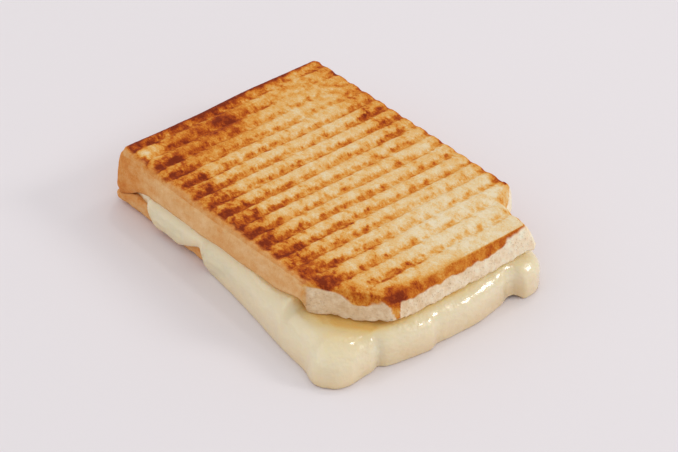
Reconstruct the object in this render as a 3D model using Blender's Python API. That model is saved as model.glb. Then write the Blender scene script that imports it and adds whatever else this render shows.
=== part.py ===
"""A grilled cheese toastie from a ribbed press: two slices of sandwich bread and the melted cheese
between them, lying flat on Z = 0. X runs across the grill grooves, from the crust end to the cut end,
and Y runs along them. Sizes are in millimetres until the meshes are made."""

import math
from dataclasses import dataclass
from typing import Callable

import bmesh
import bpy
import numpy as np
from mathutils import Vector, noise

MM = 0.001
GAP = 0.3  # clear space between neighbouring pieces
SEED_STEP = 17.3  # how far apart two seeds read the unevenness

# Corners of the slices, seen from above and anticlockwise: x, y, rounding radius
CRUST_END_X = -68.0
CUT_END_X = 64.4
TOP_CORNERS = (
    (CRUST_END_X, -46.8, 4.0),
    (40.5, -47.5, 1.5),
    (CUT_END_X, -31.0, 1.5),
    (CUT_END_X, 36.5, 1.0),
    (46.8, 39.1, 8.0),
    (41.5, 49.8, 2.0),
    (CRUST_END_X, 50.4, 3.0),
)
LOWER_CORNERS = (
    (CRUST_END_X, -46.4, 2.0),
    (54.0, -46.6, 4.0),
    (65.2, -38.0, 4.0),
    (65.2, 36.5, 3.0),
    (41.0, 49.0, 3.0),
    (CRUST_END_X, 49.6, 2.5),
)
CRUST_ENDS_X = 40.5  # beyond this the sides are cut, and show crumb
CRUST_END_BLEND = 2.5
CUT_FACE_Y = (TOP_CORNERS[2][1], TOP_CORNERS[3][1])  # where the cut end starts and stops

# Heights at the crust end and at the cut end: the cheese wedges the slices apart
TOP_FACE_Z = (25.7, 27.4)
TOP_INNER_Z = (10.75, 14.5)
LOWER_INNER_Z = (8.5, 9.2)
END_SAG = (4.8, -57.0, 10.0)  # fall of both inner faces at the crust end, the x where it starts, length
SAG_GAP = (0.56, -47.0, 7.0)  # extra clear space where they sag, the x where it starts, length

# Grill grooves
FIRST_GROOVE_X = -62.9
GROOVE_PITCH = 7.8
END_GROOVE_PITCH = 8.7  # the bread stretched a little near the cut end
GROOVES = 16
STRETCHED_GROOVES = 2
GROOVE_DEPTH = 1.2
LOWER_GROOVE_DEPTH = 0.9
GROOVE_HALF_SHARE = 0.36  # half width of a groove as a share of the pitch
WORN_GROOVES = 0.25  # how much shallower the grooves are near the cut end
SOFT_EDGE_FALL = 2.6  # fall of the rounded edge on the side where the cheese runs out
SOFT_EDGE_WIDTH = 5.0
CRISP_EDGE_FALL = 1.0  # the same towards the cut corner
FAR_EDGE_FALL = 0.6
FAR_EDGE_RADII = (1.6, 0.6)  # over crust and over cut crumb
FALL_BLEND = 30.0  # along the ends, the soft edge turns into the crisp one over this length
LOWER_EDGE_SHARE = 0.5
EDGE_NOTCH = 0.7  # how far a groove bites into the long edges
FLAT_PATCH = (-50.0, 31.0, 15.0, 16.0)  # middle and half sizes of a patch that the ribs missed
PATCH_GROOVES = 0.15  # what is left of the grooves there
EDGE_GROOVES = (0.35, 12.0)  # what is left of them at the long edges, and how far in they fade

# The grid of the grooved faces
TOP_STEPS = (0.0, 0.17, 0.36, 0.64, 0.83)  # columns in each pitch, as shares of it
LOWER_STEPS = (0.0, 0.36, 0.64)
END_STEPS = (0.0, 0.5, 1.9)
LEAST_STEP = 0.45
TOP_EDGE_ROWS = (0.0, 1.4, 3.6)
LOWER_EDGE_ROWS = (0.0, 2.6)
TOP_MIDDLE_ROWS = 6
LOWER_MIDDLE_ROWS = 4

# Side walls as rings: outward offset, and share of the way from the grooved face to the inner face
TOP_CRUST_WALL = ((0.75, 0.09), (1.25, 0.30), (1.6, 0.58), (1.8, 0.85), (1.0, 1.0))
TOP_CUT_WALL = ((1.4, 0.11), (2.3, 0.32), (2.8, 0.58), (3.1, 0.85), (2.4, 1.0))
NEAR_CUT_OFFSETS = (0.5, 0.6, 0.5, 0.4, 0.3)  # the near cut corner stands almost upright
FAR_CUT_OFFSETS = (1.7, 3.2, 4.6, 5.6, 5.2)  # the far one slopes out
FAR_CUT_BLEND = (41.0, 6.0)  # along X
LOWER_WALL = ((0.7, 0.15), (1.3, 0.42), (1.5, 0.78), (0.8, 1.0))
END_FLARE = 0.9  # how much more the crust end stands out than the long sides
FACE_WAVES = (0.35, 28.0)  # height and size of the unevenness of the top face
WALL_WAVES = (0.45, 14.0)
WALL_GRAIN = (0.15, 4.5)
RIM_PINCH = 0.6  # how far each crust rim closes over the cheese where none runs out
CLOSED_END_X = -54.0
CLOSED_END_BLEND = 6.0
CLOSED_SIDE_BLEND = (4.0, 20.0)  # along X and along Y
RAGGED_RIM = 0.8  # the cut rim of the top slice is torn by this much
TEAR_SIZE = 3.2
NEAR_RIM_LIFTS = ((2.0, -60.0, 12.0), (0.5, -20.0, 20.0), (3.1, 24.0, 16.0))  # height, start, width
NEAR_RIM_END = (39.6, 2.4)  # where the lifted crust of the near side ends, at the cut corner
CORNER_LIFT = 1.4  # rise of that rim towards the corners of the cut end
LIFT_BLEND = (5.0, 13.0)  # along X and along Y
SCORCHED_BEVEL = 2.4  # how far the last rib pressed the edge of the cut end down
BEVEL_FADE = (0.8, 18.0, 16.0)  # share lost towards the far corner, the y where that starts, width
BEVEL_RELIEF = (0.5, 9.0)  # share lost at the near corner, width
BEVEL_START_X = (49.0, 58.0)  # on the near side and on the far side
BEVEL_BLEND = 5.5
BEVEL_SLOPE = 0.2  # outward run of the pressed edge for each millimetre of its fall
CORNER_REACH = 12.0  # how far along the cut end its near corner is pushed along
INNER_SHARES = ((0.1, 0.7), (0.38, 0.0))  # rings of the inner face, and the share of the lift there

# The lower edge of the cheese where it shows, anticlockwise: x, y, z
HEM = (
    # A thin flap hangs over the crust of the lower slice
    (-50.4, -47.2, 9.6),
    (-47.7, -48.9, 7.6),
    (-45.2, -49.1, 4.6),
    (-42.2, -49.1, 2.7),
    (-36.5, -49.1, 3.3),
    (-30.5, -49.1, 2.6),
    (-24.2, -49.1, 5.2),
    (-17.2, -49.2, 8.5),
    (-15.2, -49.1, 6.0),
    (-13.6, -49.0, 2.6),
    (-11.8, -48.8, 0.8),
    # The main flow reaches the ground and widens to a lobe at the corner
    (-9.5, -48.8, 0.0),
    (12.0, -51.4, 0.0),
    (36.0, -55.7, 0.0),
    (54.0, -57.9, 0.0),
    (59.5, -59.6, 0.0),
    (63.6, -59.4, 0.0),
    (67.4, -56.2, 0.0),
    (69.6, -50.0, 0.0),
    (69.0, -42.0, 0.0),
    # A fold, then lower lobes along the cut end
    (67.9, -36.2, 0.0),
    (69.8, -33.4, 0.0),
    (71.0, -28.3, 0.0),
    (72.9, -15.5, 0.0),
    (71.6, -10.5, 0.0),
    (72.2, -2.5, 0.0),
    (72.5, 5.0, 0.0),
    (71.8, 12.5, 0.0),
    (70.0, 22.5, 0.0),
    (68.9, 26.0, 0.9),
    (69.6, 29.0, 1.1),
    (72.8, 32.0, 0.0),
    (72.6, 36.5, 0.0),
    (70.2, 41.5, 0.0),
    (65.0, 44.8, 0.0),
    (60.0, 45.6, 0.8),
    (55.5, 45.6, 4.6),
    (52.8, 45.2, 8.4),
    (50.0, 45.4, 9.7),
)
HIDDEN_REACH = -1.4  # elsewhere the cheese ends inside the rim
HIDDEN_KEYS = 9
STATION_STEP = 4.65
HIDDEN_STEP_SHARE = 0.35
SKIN = 1.1  # least thickness of the cheese over the crust
CRUST_CLEARANCE = 0.6  # room between cheese and crust, wide enough for their flat facets
UNDER_RIM = 0.5
LEAST_SHOULDER = 0.8
SHOULDER_POWER = 2.4
SHOULDER_RINGS = 7
TOE_HEIGHT = 0.8
TOE_TUCK = 0.7
BARE_REACH = 1.2  # the cheese stands out at most this much where it doesn't hang
BARE_TUCK = 0.15
BARE_STEPS = (0.35, 0.65, 0.95, 1.25)
CRUST_FOLLOWERS = (0.65, 0.3)  # heights where the inside of the skirt follows the crust, as shares
LEAST_DRAPE = 0.2
CHEESE_INNER_SHARES = ((0.38, 0.0), (0.1, 0.5))
CHEESE_LIFT = 0.78  # how much of the lift its edge under the rim follows
CHEESE_LIFT_END = (35.0, 4.0)
DROOP_SLOPE = 0.16  # fall of the cheese that lies bare at the cut corner
DROOP_START = 2.0
DROOP_BLEND = 8.0
INNER_CORE = (-38.0, 34.0, 22.0)  # low x, high x and half y of the rectangle that inner rings shrink to


@dataclass(frozen=True)
class BreadSlice:
    """What sets one slice apart from the other."""

    name: str
    corners: tuple
    steps: tuple
    edge_rows: tuple
    middle_rows: int
    inner_z: tuple
    crust_wall: tuple
    cut_wall: tuple
    face_height: Callable
    is_cut: bool


def smooth(value):
    """A soft step from 0 to 1."""
    value = min(max(value, 0.0), 1.0)
    return value * value * (3.0 - 2.0 * value)


def rise(value, start, width):
    """A soft step from 0 to 1 that starts here and is this wide."""
    return smooth((value - start) / width)


def mix(first, second, share):
    """The value this share of the way from first to second."""
    return first + (second - first) * share


def lengthwise(pair, x):
    """The value at x of something given at the crust end and at the cut end."""
    return mix(pair[0], pair[1], (x - CRUST_END_X) / (CUT_END_X - CRUST_END_X))


def inner_height(pair, x):
    """The height at x of an inner face: level but for the sag at the crust end."""
    fall, start, length = END_SAG
    return lengthwise(pair, x) - fall * min(max((start - x) / length, 0.0), 1.0)


def cheese_gap(x):
    """The clear space between the cheese and a slice at x."""
    extra, start, length = SAG_GAP
    return GAP + extra * min(max((start - x) / length, 0.0), 1.0)


def uneven(x, y, z, size, seed):
    """Smooth unevenness from -1 to 1, with bumps of about this size."""
    return noise.noise(Vector((x / size + SEED_STEP * seed, y / size, z / size)))


def waves(kind, x, y, z, seed):
    """Unevenness of the height and size that kind gives."""
    height, size = kind
    return height * uneven(x, y, z, size, seed)


def rounded_outline(corners, arc_steps=5):
    """The closed outline through rounded corners, as an array of x, y."""
    points = []
    for index, (x, y, radius) in enumerate(corners):
        corner = np.array((x, y))
        before = np.array(corners[index - 1][:2]) - corner
        after = np.array(corners[(index + 1) % len(corners)][:2]) - corner
        before /= np.linalg.norm(before)
        after /= np.linalg.norm(after)
        half_angle = math.acos(float(before @ after)) / 2.0
        way = math.copysign(1.0, after[0] * before[1] - after[1] * before[0])
        middle = (before + after) / np.linalg.norm(before + after)
        centre = corner + middle * radius / math.sin(half_angle)
        start = corner + before * radius / math.tan(half_angle) - centre
        for step in range(arc_steps + 1):
            turn = way * (math.pi - 2.0 * half_angle) * step / arc_steps
            cos, sin = math.cos(turn), math.sin(turn)
            points.append(centre + (cos * start[0] - sin * start[1], sin * start[0] + cos * start[1]))
    return np.array(points)


def outward_normals(loop):
    """Unit vectors that point out of a closed anticlockwise loop of x, y."""
    tangent = np.roll(loop, -1, axis=0) - np.roll(loop, 1, axis=0)
    normal = np.stack((tangent[:, 1], -tangent[:, 0]), axis=1)
    return normal / np.linalg.norm(normal, axis=1)[:, None]


def towards_core(point, share):
    """The point moved this share of the way towards the inner rectangle."""
    low_x, high_x, half_y = INNER_CORE
    core = np.array((min(max(point[0], low_x), high_x), min(max(point[1], -half_y), half_y)))
    return mix(np.asarray(point), core, share)


def groove_centres():
    """The x of each groove."""
    centres = [FIRST_GROOVE_X]
    for groove in range(1, GROOVES):
        stretched = groove >= GROOVES - STRETCHED_GROOVES
        centres.append(centres[-1] + (END_GROOVE_PITCH if stretched else GROOVE_PITCH))
    return centres


GROOVE_CENTRES = groove_centres()


def groove_shape(x):
    """1 in the middle of a groove and 0 on the pads between grooves."""
    pitch = END_GROOVE_PITCH if x > GROOVE_CENTRES[-STRETCHED_GROOVES] else GROOVE_PITCH
    away = min(abs(x - centre) for centre in GROOVE_CENTRES) / (pitch * GROOVE_HALF_SHARE)
    return 0.0 if away >= 1.0 else 0.5 + 0.5 * math.cos(math.pi * away)


def groove_strength(x, y):
    """How deep the grooves are pressed here, from 0 to 1."""
    patch_x, patch_y, half_x, half_y = FLAT_PATCH
    reach = math.hypot((x - patch_x) / half_x, (y - patch_y) / half_y)
    in_patch = mix(PATCH_GROOVES, 1.0, rise(reach, 0.7, 0.6))
    near_cut_end = 1.0 - WORN_GROOVES * rise(x, 30.0, 30.0)
    least, width = EDGE_GROOVES
    from_edges = min(y - TOP_CORNERS[1][1], TOP_CORNERS[-1][1] - y)
    return in_patch * near_cut_end * mix(least, 1.0, rise(from_edges, 0.0, width))


def cut_share(x):
    """0 where the side is crust and 1 where it is cut crumb."""
    return rise(x, CRUST_ENDS_X - CRUST_END_BLEND / 2.0, CRUST_END_BLEND)


def closed_share(x, y):
    """1 where the crusts are pressed together and 0 where cheese runs out between them."""
    blend_x, blend_y = CLOSED_SIDE_BLEND
    at_crust_end = rise(-x, -CLOSED_END_X, CLOSED_END_BLEND)
    at_far_side = rise(y, 0.0, blend_y) * rise(-x, -CRUST_ENDS_X, blend_x)
    return max(at_crust_end, at_far_side)


def rounded_fall(distance, radius):
    """How far a rounded edge has fallen at this distance from the outline."""
    inside = min(max(distance, 0.0), radius)
    return radius - math.sqrt(radius * radius - (radius - inside) ** 2)


def top_face_height(x, y, distance):
    """The height of the top slice's grooved face, this far in from its outline."""
    groove = GROOVE_DEPTH * groove_shape(x) * groove_strength(x, y)
    most = mix(SOFT_EDGE_FALL, CRISP_EDGE_FALL, rise(x, -20.0, 60.0))
    near_fall = most * rounded_fall(distance, SOFT_EDGE_WIDTH) / SOFT_EDGE_WIDTH
    far_fall = FAR_EDGE_FALL * rounded_fall(distance, mix(*FAR_EDGE_RADII, cut_share(x)))
    fall = mix(near_fall, far_fall, rise(y, -FALL_BLEND / 2.0, FALL_BLEND))
    return lengthwise(TOP_FACE_Z, x) + waves(FACE_WAVES, x, y, 0.0, 1) - groove - fall


def lower_face_height(x, y, distance):
    """The height of the lower slice's grooved face: its pads stand on the ground."""
    groove = LOWER_GROOVE_DEPTH * groove_shape(x)
    return groove + LOWER_EDGE_SHARE * rounded_fall(distance, LOWER_EDGE_ROWS[-1])


def columns(steps, last_x):
    """The x of each grid column: steps in each pitch, and a few where the end corners turn."""
    found = [CRUST_END_X + step for step in END_STEPS]
    for left, right in zip(GROOVE_CENTRES, [*GROOVE_CENTRES[1:], last_x]):
        found += [mix(left, right, step) for step in steps]
    found += [last_x - END_STEPS[2], last_x - END_STEPS[1]]
    kept = [found[0]]
    for x in sorted(found[1:]):
        if x - kept[-1] >= LEAST_STEP and last_x - x >= LEAST_STEP:
            kept.append(x)
    return kept + [last_x]


def sides_at(outline, x):
    """The lowest and highest y of the outline at x."""
    crossings = []
    for (x0, y0), (x1, y1) in zip(outline, np.roll(outline, -1, axis=0)):
        if min(x0, x1) - 1e-9 <= x <= max(x0, x1) + 1e-9:
            crossings += [y0, y1] if abs(x1 - x0) < 1e-9 else [mix(y0, y1, (x - x0) / (x1 - x0))]
    return min(crossings), max(crossings)


def face_grid(bread, outline):
    """The grid points of the grooved face, as an array [column, row, (x, y)]."""
    grid = []
    for x in columns(bread.steps, float(outline[:, 0].max())):
        low, high = sides_at(outline, x)
        first, last = low + bread.edge_rows[-1], high - bread.edge_rows[-1]
        ys = [low + row for row in bread.edge_rows]
        ys += [mix(first, last, (row + 1) / (bread.middle_rows + 1)) for row in range(bread.middle_rows)]
        ys += [high - row for row in reversed(bread.edge_rows)]
        grid.append([(x, y) for y in ys])
    return np.array(grid)


def rim_places(column_count, row_count):
    """The grid places on the outline, anticlockwise."""
    around = [(column, 0) for column in range(column_count)]
    around += [(column_count - 1, row) for row in range(1, row_count)]
    around += [(column, row_count - 1) for column in range(column_count - 2, -1, -1)]
    around += [(0, row) for row in range(row_count - 2, 0, -1)]
    return around


class Shell:
    """Collects the points and faces of one closed body."""

    def __init__(self):
        self.points = []
        self.faces = []

    def ring(self, points):
        """Adds a closed ring of points and returns their numbers."""
        start = len(self.points)
        self.points += [tuple(point) for point in points]
        return list(range(start, len(self.points)))

    def grid(self, points):
        """Adds a grid of points with its faces and returns their numbers, as an array."""
        numbers = np.array(self.ring(points.reshape(-1, 3))).reshape(points.shape[:2])
        for left, right in zip(numbers[:-1], numbers[1:]):
            self.faces += list(zip(left[:-1], right[:-1], right[1:], left[1:]))
        return numbers

    def join(self, first, second):
        """Adds the band of faces between two rings."""
        for i, j in zip(range(len(first)), [*range(1, len(first)), 0]):
            self.faces.append((first[i], first[j], second[j], second[i]))

    def loft(self, rings):
        """Adds rings joined in order and returns the numbers of the first and the last."""
        numbers = [self.ring(ring) for ring in rings]
        for first, second in zip(numbers[:-1], numbers[1:]):
            self.join(first, second)
        return numbers[0], numbers[-1]

    def make_object(self, name, material):
        """A named object from the shell, with its faces turned outwards."""
        model = bmesh.new()
        vertices = [model.verts.new(Vector(point) * MM) for point in self.points]
        for face in self.faces:
            model.faces.new([vertices[number] for number in face])
        bmesh.ops.recalc_face_normals(model, faces=model.faces)
        mesh = bpy.data.meshes.new(name)
        model.to_mesh(mesh)
        model.free()
        mesh.shade_smooth()
        mesh.set_sharp_from_angle(angle=math.radians(50.0))
        mesh.materials.append(material)
        part = bpy.data.objects.new(name, mesh)
        bpy.context.scene.collection.objects.link(part)
        return part


def pressed_down(x, y):
    """How far the last rib pressed down the edge of the cut end."""
    from_corner = math.hypot(x - CUT_END_X, y - CUT_FACE_Y[0])
    near_share = 1.0 - BEVEL_RELIEF[0] * (1.0 - rise(from_corner, 0.0, BEVEL_RELIEF[1]))
    far_share = 1.0 - BEVEL_FADE[0] * rise(y, *BEVEL_FADE[1:])
    return SCORCHED_BEVEL * near_share * far_share * rise(x, BEVEL_START_X[int(y > 0.0)], BEVEL_BLEND)


def rim_lift(x, y, end):
    """How far the crust's lower rim is lifted on the near side, where the cheese runs out under it."""
    if y > 0.0:
        return 0.0
    return sum(height * rise(x, start, width) for height, start, width in NEAR_RIM_LIFTS) * (1.0 - rise(x, *end))


def ragged_rise(x, y, cut):
    """How far the torn rim of the cut sides rises, most of all at the corners of the cut end."""
    torn = RAGGED_RIM * cut * max(0.5 + uneven(x, y, 0.0, TEAR_SIZE, 4), 0.0)
    blend_x, blend_y = LIFT_BLEND
    from_middle = abs(y - sum(CUT_FACE_Y) / 2.0)
    half_length = (CUT_FACE_Y[1] - CUT_FACE_Y[0]) / 2.0
    lift = rise(x, BEVEL_START_X[1], blend_x) * rise(from_middle, half_length - blend_y, blend_y)
    return torn + CORNER_LIFT * lift


def corner_push(x, y, near_cut, cut_offset):
    """How far the near cut side slides along itself, so that it meets the cut end where that stands out."""
    corner, end = np.array(TOP_CORNERS[1][:2]), np.array(TOP_CORNERS[2][:2])
    slope = (end[1] - corner[1]) / (end[0] - corner[0])
    along = min(max((x - corner[0]) / (end[0] - corner[0]), 0.0), 1.0)
    on_end = (1.0 - near_cut) * cut_share(x) * (1.0 - rise(y, end[1], CORNER_REACH))
    return cut_offset * np.array((near_cut * along, slope * (near_cut * along + on_end)))


def wall_point(bread, ring, x, y, normal, face_z):
    """A point of the slice's side wall, on this ring, outside the rim point x, y."""
    cut = cut_share(x)
    offset = mix(bread.crust_wall[ring][0], bread.cut_wall[ring][0], cut)
    share = mix(bread.crust_wall[ring][1], bread.cut_wall[ring][1], cut)
    inner_z, pressed, near_cut, push = inner_height(bread.inner_z, x), 0.0, 0.0, (0.0, 0.0)
    if bread.is_cut:
        inner_z += rim_lift(x, y, NEAR_RIM_END)
        pressed = pressed_down(x, y)
        near_cut = cut * rise(-normal[1], 0.25, 0.4)
        push = corner_push(x, y, near_cut, bread.cut_wall[ring][0])
        offset = mix(offset, NEAR_CUT_OFFSETS[ring], near_cut)
        offset = mix(offset, FAR_CUT_OFFSETS[ring], cut * rise(normal[1], 0.25, 0.4) * rise(x, *FAR_CUT_BLEND))
    z = mix(face_z - pressed, inner_z, share)
    offset *= 1.0 + END_FLARE * max(-normal[0], 0.0)
    offset += waves(WALL_WAVES, x, y, z, 2) + waves(WALL_GRAIN, x, y, z, 3)
    if ring == 0:
        offset += BEVEL_SLOPE * pressed
    if ring == len(bread.crust_wall) - 1:
        z += math.copysign(RIM_PINCH, inner_z - face_z) * closed_share(x, y)
        z += ragged_rise(x, y, cut) if bread.is_cut else 0.0
    return (x + normal[0] * offset + push[0], y + normal[1] * offset + push[1], z)


def make_slice(bread, material):
    """One slice: a grooved face, side walls that bulge, and a flat inner face."""
    outline = rounded_outline(bread.corners)
    grid = face_grid(bread, outline)
    places = rim_places(*grid.shape[:2])
    rim_xy = np.array([grid[place] for place in places])
    normals = outward_normals(rim_xy)
    face = np.zeros((*grid.shape[:2], 3))
    for column, low_y, high_y in zip(range(len(grid)), grid[:, 0, 1], grid[:, -1, 1]):
        for row, (x, y) in enumerate(grid[column]):
            distance = min(y - low_y, high_y - y, x - CRUST_END_X, grid[-1, 0, 0] - x)
            face[column, row] = (x, y, bread.face_height(x, y, distance))
    for place, normal in zip(places, normals):
        x, y = face[place][:2]
        notch = EDGE_NOTCH * groove_shape(x) * groove_strength(x, y) * abs(normal[1])
        face[place][:2] -= normal * notch
    shell = Shell()
    numbers = shell.grid(face)
    rim = [int(numbers[place]) for place in places]
    rings = []
    for ring in range(len(bread.crust_wall)):
        rings.append([wall_point(bread, ring, *xy, normal, shell.points[number][2])
                      for xy, normal, number in zip(rim_xy, normals, rim)])
    for share, lift_share in INNER_SHARES:
        ring = []
        for xy in rim_xy:
            x, y = towards_core(xy, share)
            lift = lift_share * rim_lift(x, xy[1], NEAR_RIM_END) if bread.is_cut else 0.0
            ring.append((x, y, inner_height(bread.inner_z, x) + lift))
        rings.append(ring)
    first, last = shell.loft(rings)
    shell.join(rim, first)
    shell.faces.append(tuple(last))
    return shell.make_object(bread.name, material)


TOP_SLICE = BreadSlice("top_slice", TOP_CORNERS, TOP_STEPS, TOP_EDGE_ROWS, TOP_MIDDLE_ROWS, TOP_INNER_Z,
                       TOP_CRUST_WALL, TOP_CUT_WALL, top_face_height, True)
LOWER_SLICE = BreadSlice("bottom_slice", LOWER_CORNERS, LOWER_STEPS, LOWER_EDGE_ROWS, LOWER_MIDDLE_ROWS,
                         LOWER_INNER_Z, LOWER_WALL, LOWER_WALL, lower_face_height, False)


class Rim:
    """The lower slice's outline, measured along its length."""

    def __init__(self, outline):
        self.closed = np.vstack((outline, outline[:1]))
        steps = np.linalg.norm(np.diff(self.closed, axis=0), axis=1)
        self.at = np.concatenate(((0.0,), np.cumsum(steps)))
        self.length = float(self.at[-1])

    def point(self, place):
        """The point at this length along the outline."""
        place = place % self.length
        return np.array([np.interp(place, self.at, self.closed[:, axis]) for axis in (0, 1)])

    def normal(self, place, reach=1.2):
        """The outward normal, averaged over a short stretch."""
        tangent = self.point(place + reach) - self.point(place - reach)
        return np.array((tangent[1], -tangent[0])) / np.linalg.norm(tangent)

    def nearest(self, point):
        """The length along the outline of the place nearest to a point."""
        places = np.arange(0.0, self.length, 0.25)
        distances = [np.linalg.norm(self.point(place) - point) for place in places]
        return float(places[int(np.argmin(distances))])


def even_curve(values, at):
    """Values through the keys 0, 1, 2 and so on, read at a key number, without overshoot."""
    slopes = np.diff(values)
    before, after = slopes[:-1], slopes[1:]
    same_way = before * after > 0.0
    middle = np.where(same_way, 2.0 * before * after / np.where(same_way, before + after, 1.0), 0.0)
    tangents = np.concatenate((slopes[:1], middle, slopes[-1:]))
    key = min(int(at), len(values) - 2)
    t = at - key
    rest = 1.0 - t
    return (values[key] * (1.0 + 2.0 * t) * rest * rest + tangents[key] * t * rest * rest
            + values[key + 1] * t * t * (3.0 - 2.0 * t) - tangents[key + 1] * t * t * rest)


def hem_stations():
    """The places round the rim where the cheese has a section: rim place, reach, drift, hem height."""
    rim = Rim(rounded_outline(LOWER_CORNERS))
    keys = []
    for x, y, z in HEM:
        place = rim.nearest((x, y))
        away = np.array((x, y)) - rim.point(place)
        normal = rim.normal(place)
        keys.append((place, float(away @ normal), float(away @ (-normal[1], normal[0])), z))
    first, last = keys[0][0] + rim.length, keys[-1][0]
    for key in range(HIDDEN_KEYS):
        place = mix(last, first, (key + 0.6) / (HIDDEN_KEYS + 0.2))
        keys.append((place, HIDDEN_REACH, 0.0, LOWER_INNER_Z[0] + 1.0))
    keys.append((first, *keys[0][1:]))
    channels = np.array(keys).T
    fine = np.linspace(0.0, len(keys) - 1, 60 * (len(keys) - 1) + 1)
    curves = np.array([[even_curve(channel, at) for at in fine] for channel in channels])
    rim_step = np.abs(np.diff(curves[0]))
    hem_step = np.hypot(np.diff(curves[1]), np.diff(curves[3])) + rim_step
    weight = np.where(fine[:-1] > len(HEM) - 1, HIDDEN_STEP_SHARE, 1.0)
    travel = np.concatenate(((0.0,), np.cumsum((rim_step + hem_step) * weight)))
    count = round(travel[-1] / STATION_STEP)
    wanted = np.arange(count) * travel[-1] / count
    return rim, [[float(np.interp(at, travel, curve)) for curve in curves] for at in wanted]


def lower_wall_offset(x, y, z):
    """How far the lower slice's side stands out from its outline at this height."""
    shares = [share for _, share in LOWER_WALL]
    offsets = [offset for offset, _ in LOWER_WALL]
    share = z / inner_height(LOWER_INNER_Z, x)
    return float(np.interp(share, [0.0, *shares], [0.0, *offsets])) + waves(WALL_WAVES, x, y, z, 2)


def cheese_top_z(x, y):
    """The height of the cheese's upper face: just below the top slice, drooping where it lies bare."""
    corner_x, corner_y = TOP_CORNERS[1][:2]
    along_cut = np.array((CUT_END_X - corner_x, TOP_CORNERS[2][1] - corner_y))
    along_cut /= np.linalg.norm(along_cut)
    outside = (x - corner_x) * along_cut[1] - (y - corner_y) * along_cut[0]
    droop = DROOP_SLOPE * max(outside - DROOP_START, 0.0) * rise(x, CRUST_ENDS_X, DROOP_BLEND)
    return inner_height(TOP_INNER_Z, x) - cheese_gap(x) - droop


def cheese_bed_z(x):
    """The height of the cheese's lower face, just above the lower slice."""
    return inner_height(LOWER_INNER_Z, x) + cheese_gap(x)


def cheese_section(rim, place, reach, drift, hem_z):
    """The section of the cheese at one station, as points from its top face round to its bottom face."""
    base, normal = rim.point(place), rim.normal(place)
    x, y = base
    tangent = np.array((-normal[1], normal[0]))
    top_z = cheese_top_z(x, y) + CHEESE_LIFT * rim_lift(x, y, CHEESE_LIFT_END)
    bed_z = cheese_bed_z(x)
    draped = hem_z < bed_z - LEAST_DRAPE

    def beside(z):
        return lower_wall_offset(x, y, z) + CRUST_CLEARANCE

    def at(offset, z):
        share = min(max(offset / reach, 0.0), 1.0) if reach > 0.5 else 0.0
        return (*(base + normal * offset + tangent * drift * share), z)

    points = []
    for share, lift_share in CHEESE_INNER_SHARES:
        inner = towards_core(base, share)
        inner_lift = lift_share * rim_lift(inner[0], y, CHEESE_LIFT_END)
        points.append((*inner, cheese_top_z(*inner) + inner_lift))
    reach_now = max(reach, beside(hem_z) + SKIN) if draped else min(reach, BARE_REACH)
    foot_z = hem_z if draped else cheese_bed_z(at(reach_now - BARE_TUCK, 0.0)[0])
    start = min(-UNDER_RIM, reach_now - LEAST_SHOULDER)
    toe = min(TOE_HEIGHT, 0.5 * (top_z - foot_z))
    for ring in range(SHOULDER_RINGS + 1):
        angle = 0.5 * math.pi * ring / SHOULDER_RINGS
        out = math.sin(angle) ** (2.0 / SHOULDER_POWER)
        down = max(math.cos(angle), 0.0) ** (2.0 / SHOULDER_POWER)
        z = mix(foot_z + toe, top_z, down)
        offset = mix(start, reach_now, out)
        if draped and z < bed_z + 0.5:
            offset = max(offset, beside(z) + SKIN)
        points.append(at(offset, z))
    points.append(at(reach_now - (TOE_TUCK if draped else BARE_TUCK), foot_z))
    if draped:
        points.append(at(beside(foot_z), foot_z))
        for share in CRUST_FOLLOWERS:
            z = mix(bed_z, foot_z, share)
            points.append(at(beside(z), z))
        points.append(at(beside(bed_z - GAP), bed_z))
    else:
        for step in BARE_STEPS:
            bare_x, bare_y, _ = at(reach_now - step, 0.0)
            points.append((bare_x, bare_y, cheese_bed_z(bare_x)))
    for share, _ in reversed(CHEESE_INNER_SHARES):
        inner = towards_core(base, share)
        points.append((*inner, cheese_bed_z(inner[0])))
    return points


def make_cheese(material):
    """The melted cheese: a sheet between the slices that runs out and hangs over the lower one."""
    rim, stations = hem_stations()
    sections = [cheese_section(rim, *station) for station in stations]
    shell = Shell()
    top, bottom = shell.loft([list(ring) for ring in zip(*sections)])
    shell.faces.append(tuple(top))
    shell.faces.append(tuple(bottom))
    return shell.make_object("melted_cheese", material)


def food_material(name, colour, roughness):
    """A plain food surface."""
    material = bpy.data.materials.new(name)
    material.use_nodes = True
    surface = material.node_tree.nodes["Principled BSDF"]
    surface.inputs["Base Color"].default_value = (*colour, 1.0)
    surface.inputs["Roughness"].default_value = roughness
    surface.inputs["Metallic"].default_value = 0.0
    return material


def centre_on_origin(parts):
    """Moves the meshes so that the origin is under the middle of their box, on the ground."""
    corners = np.array([vertex.co for part in parts for vertex in part.data.vertices])
    low, high = corners.min(axis=0), corners.max(axis=0)
    shift = Vector((-(low[0] + high[0]) / 2.0, -(low[1] + high[1]) / 2.0, -low[2]))
    for part in parts:
        for vertex in part.data.vertices:
            vertex.co += shift


def clear_scene():
    """Removes everything that the scene holds."""
    for item in list(bpy.data.objects):
        bpy.data.objects.remove(item, do_unlink=True)


def main():
    clear_scene()
    parts = [
        make_slice(LOWER_SLICE, food_material("lower_bread", (0.74, 0.50, 0.25), 0.85)),
        make_cheese(food_material("cheese", (0.86, 0.80, 0.55), 0.3)),
        make_slice(TOP_SLICE, food_material("top_bread", (0.78, 0.52, 0.26), 0.85)),
    ]
    centre_on_origin(parts)


main()
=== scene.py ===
"""Looks of a toasted cheese sandwich from a ribbed grill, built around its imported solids.

Shapes are worked out in millimetres in the sandwich's own frame: X runs across the grill grooves,
from the crust end to the cut end, and Y runs along them. FRAME_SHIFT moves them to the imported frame.
"""

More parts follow.
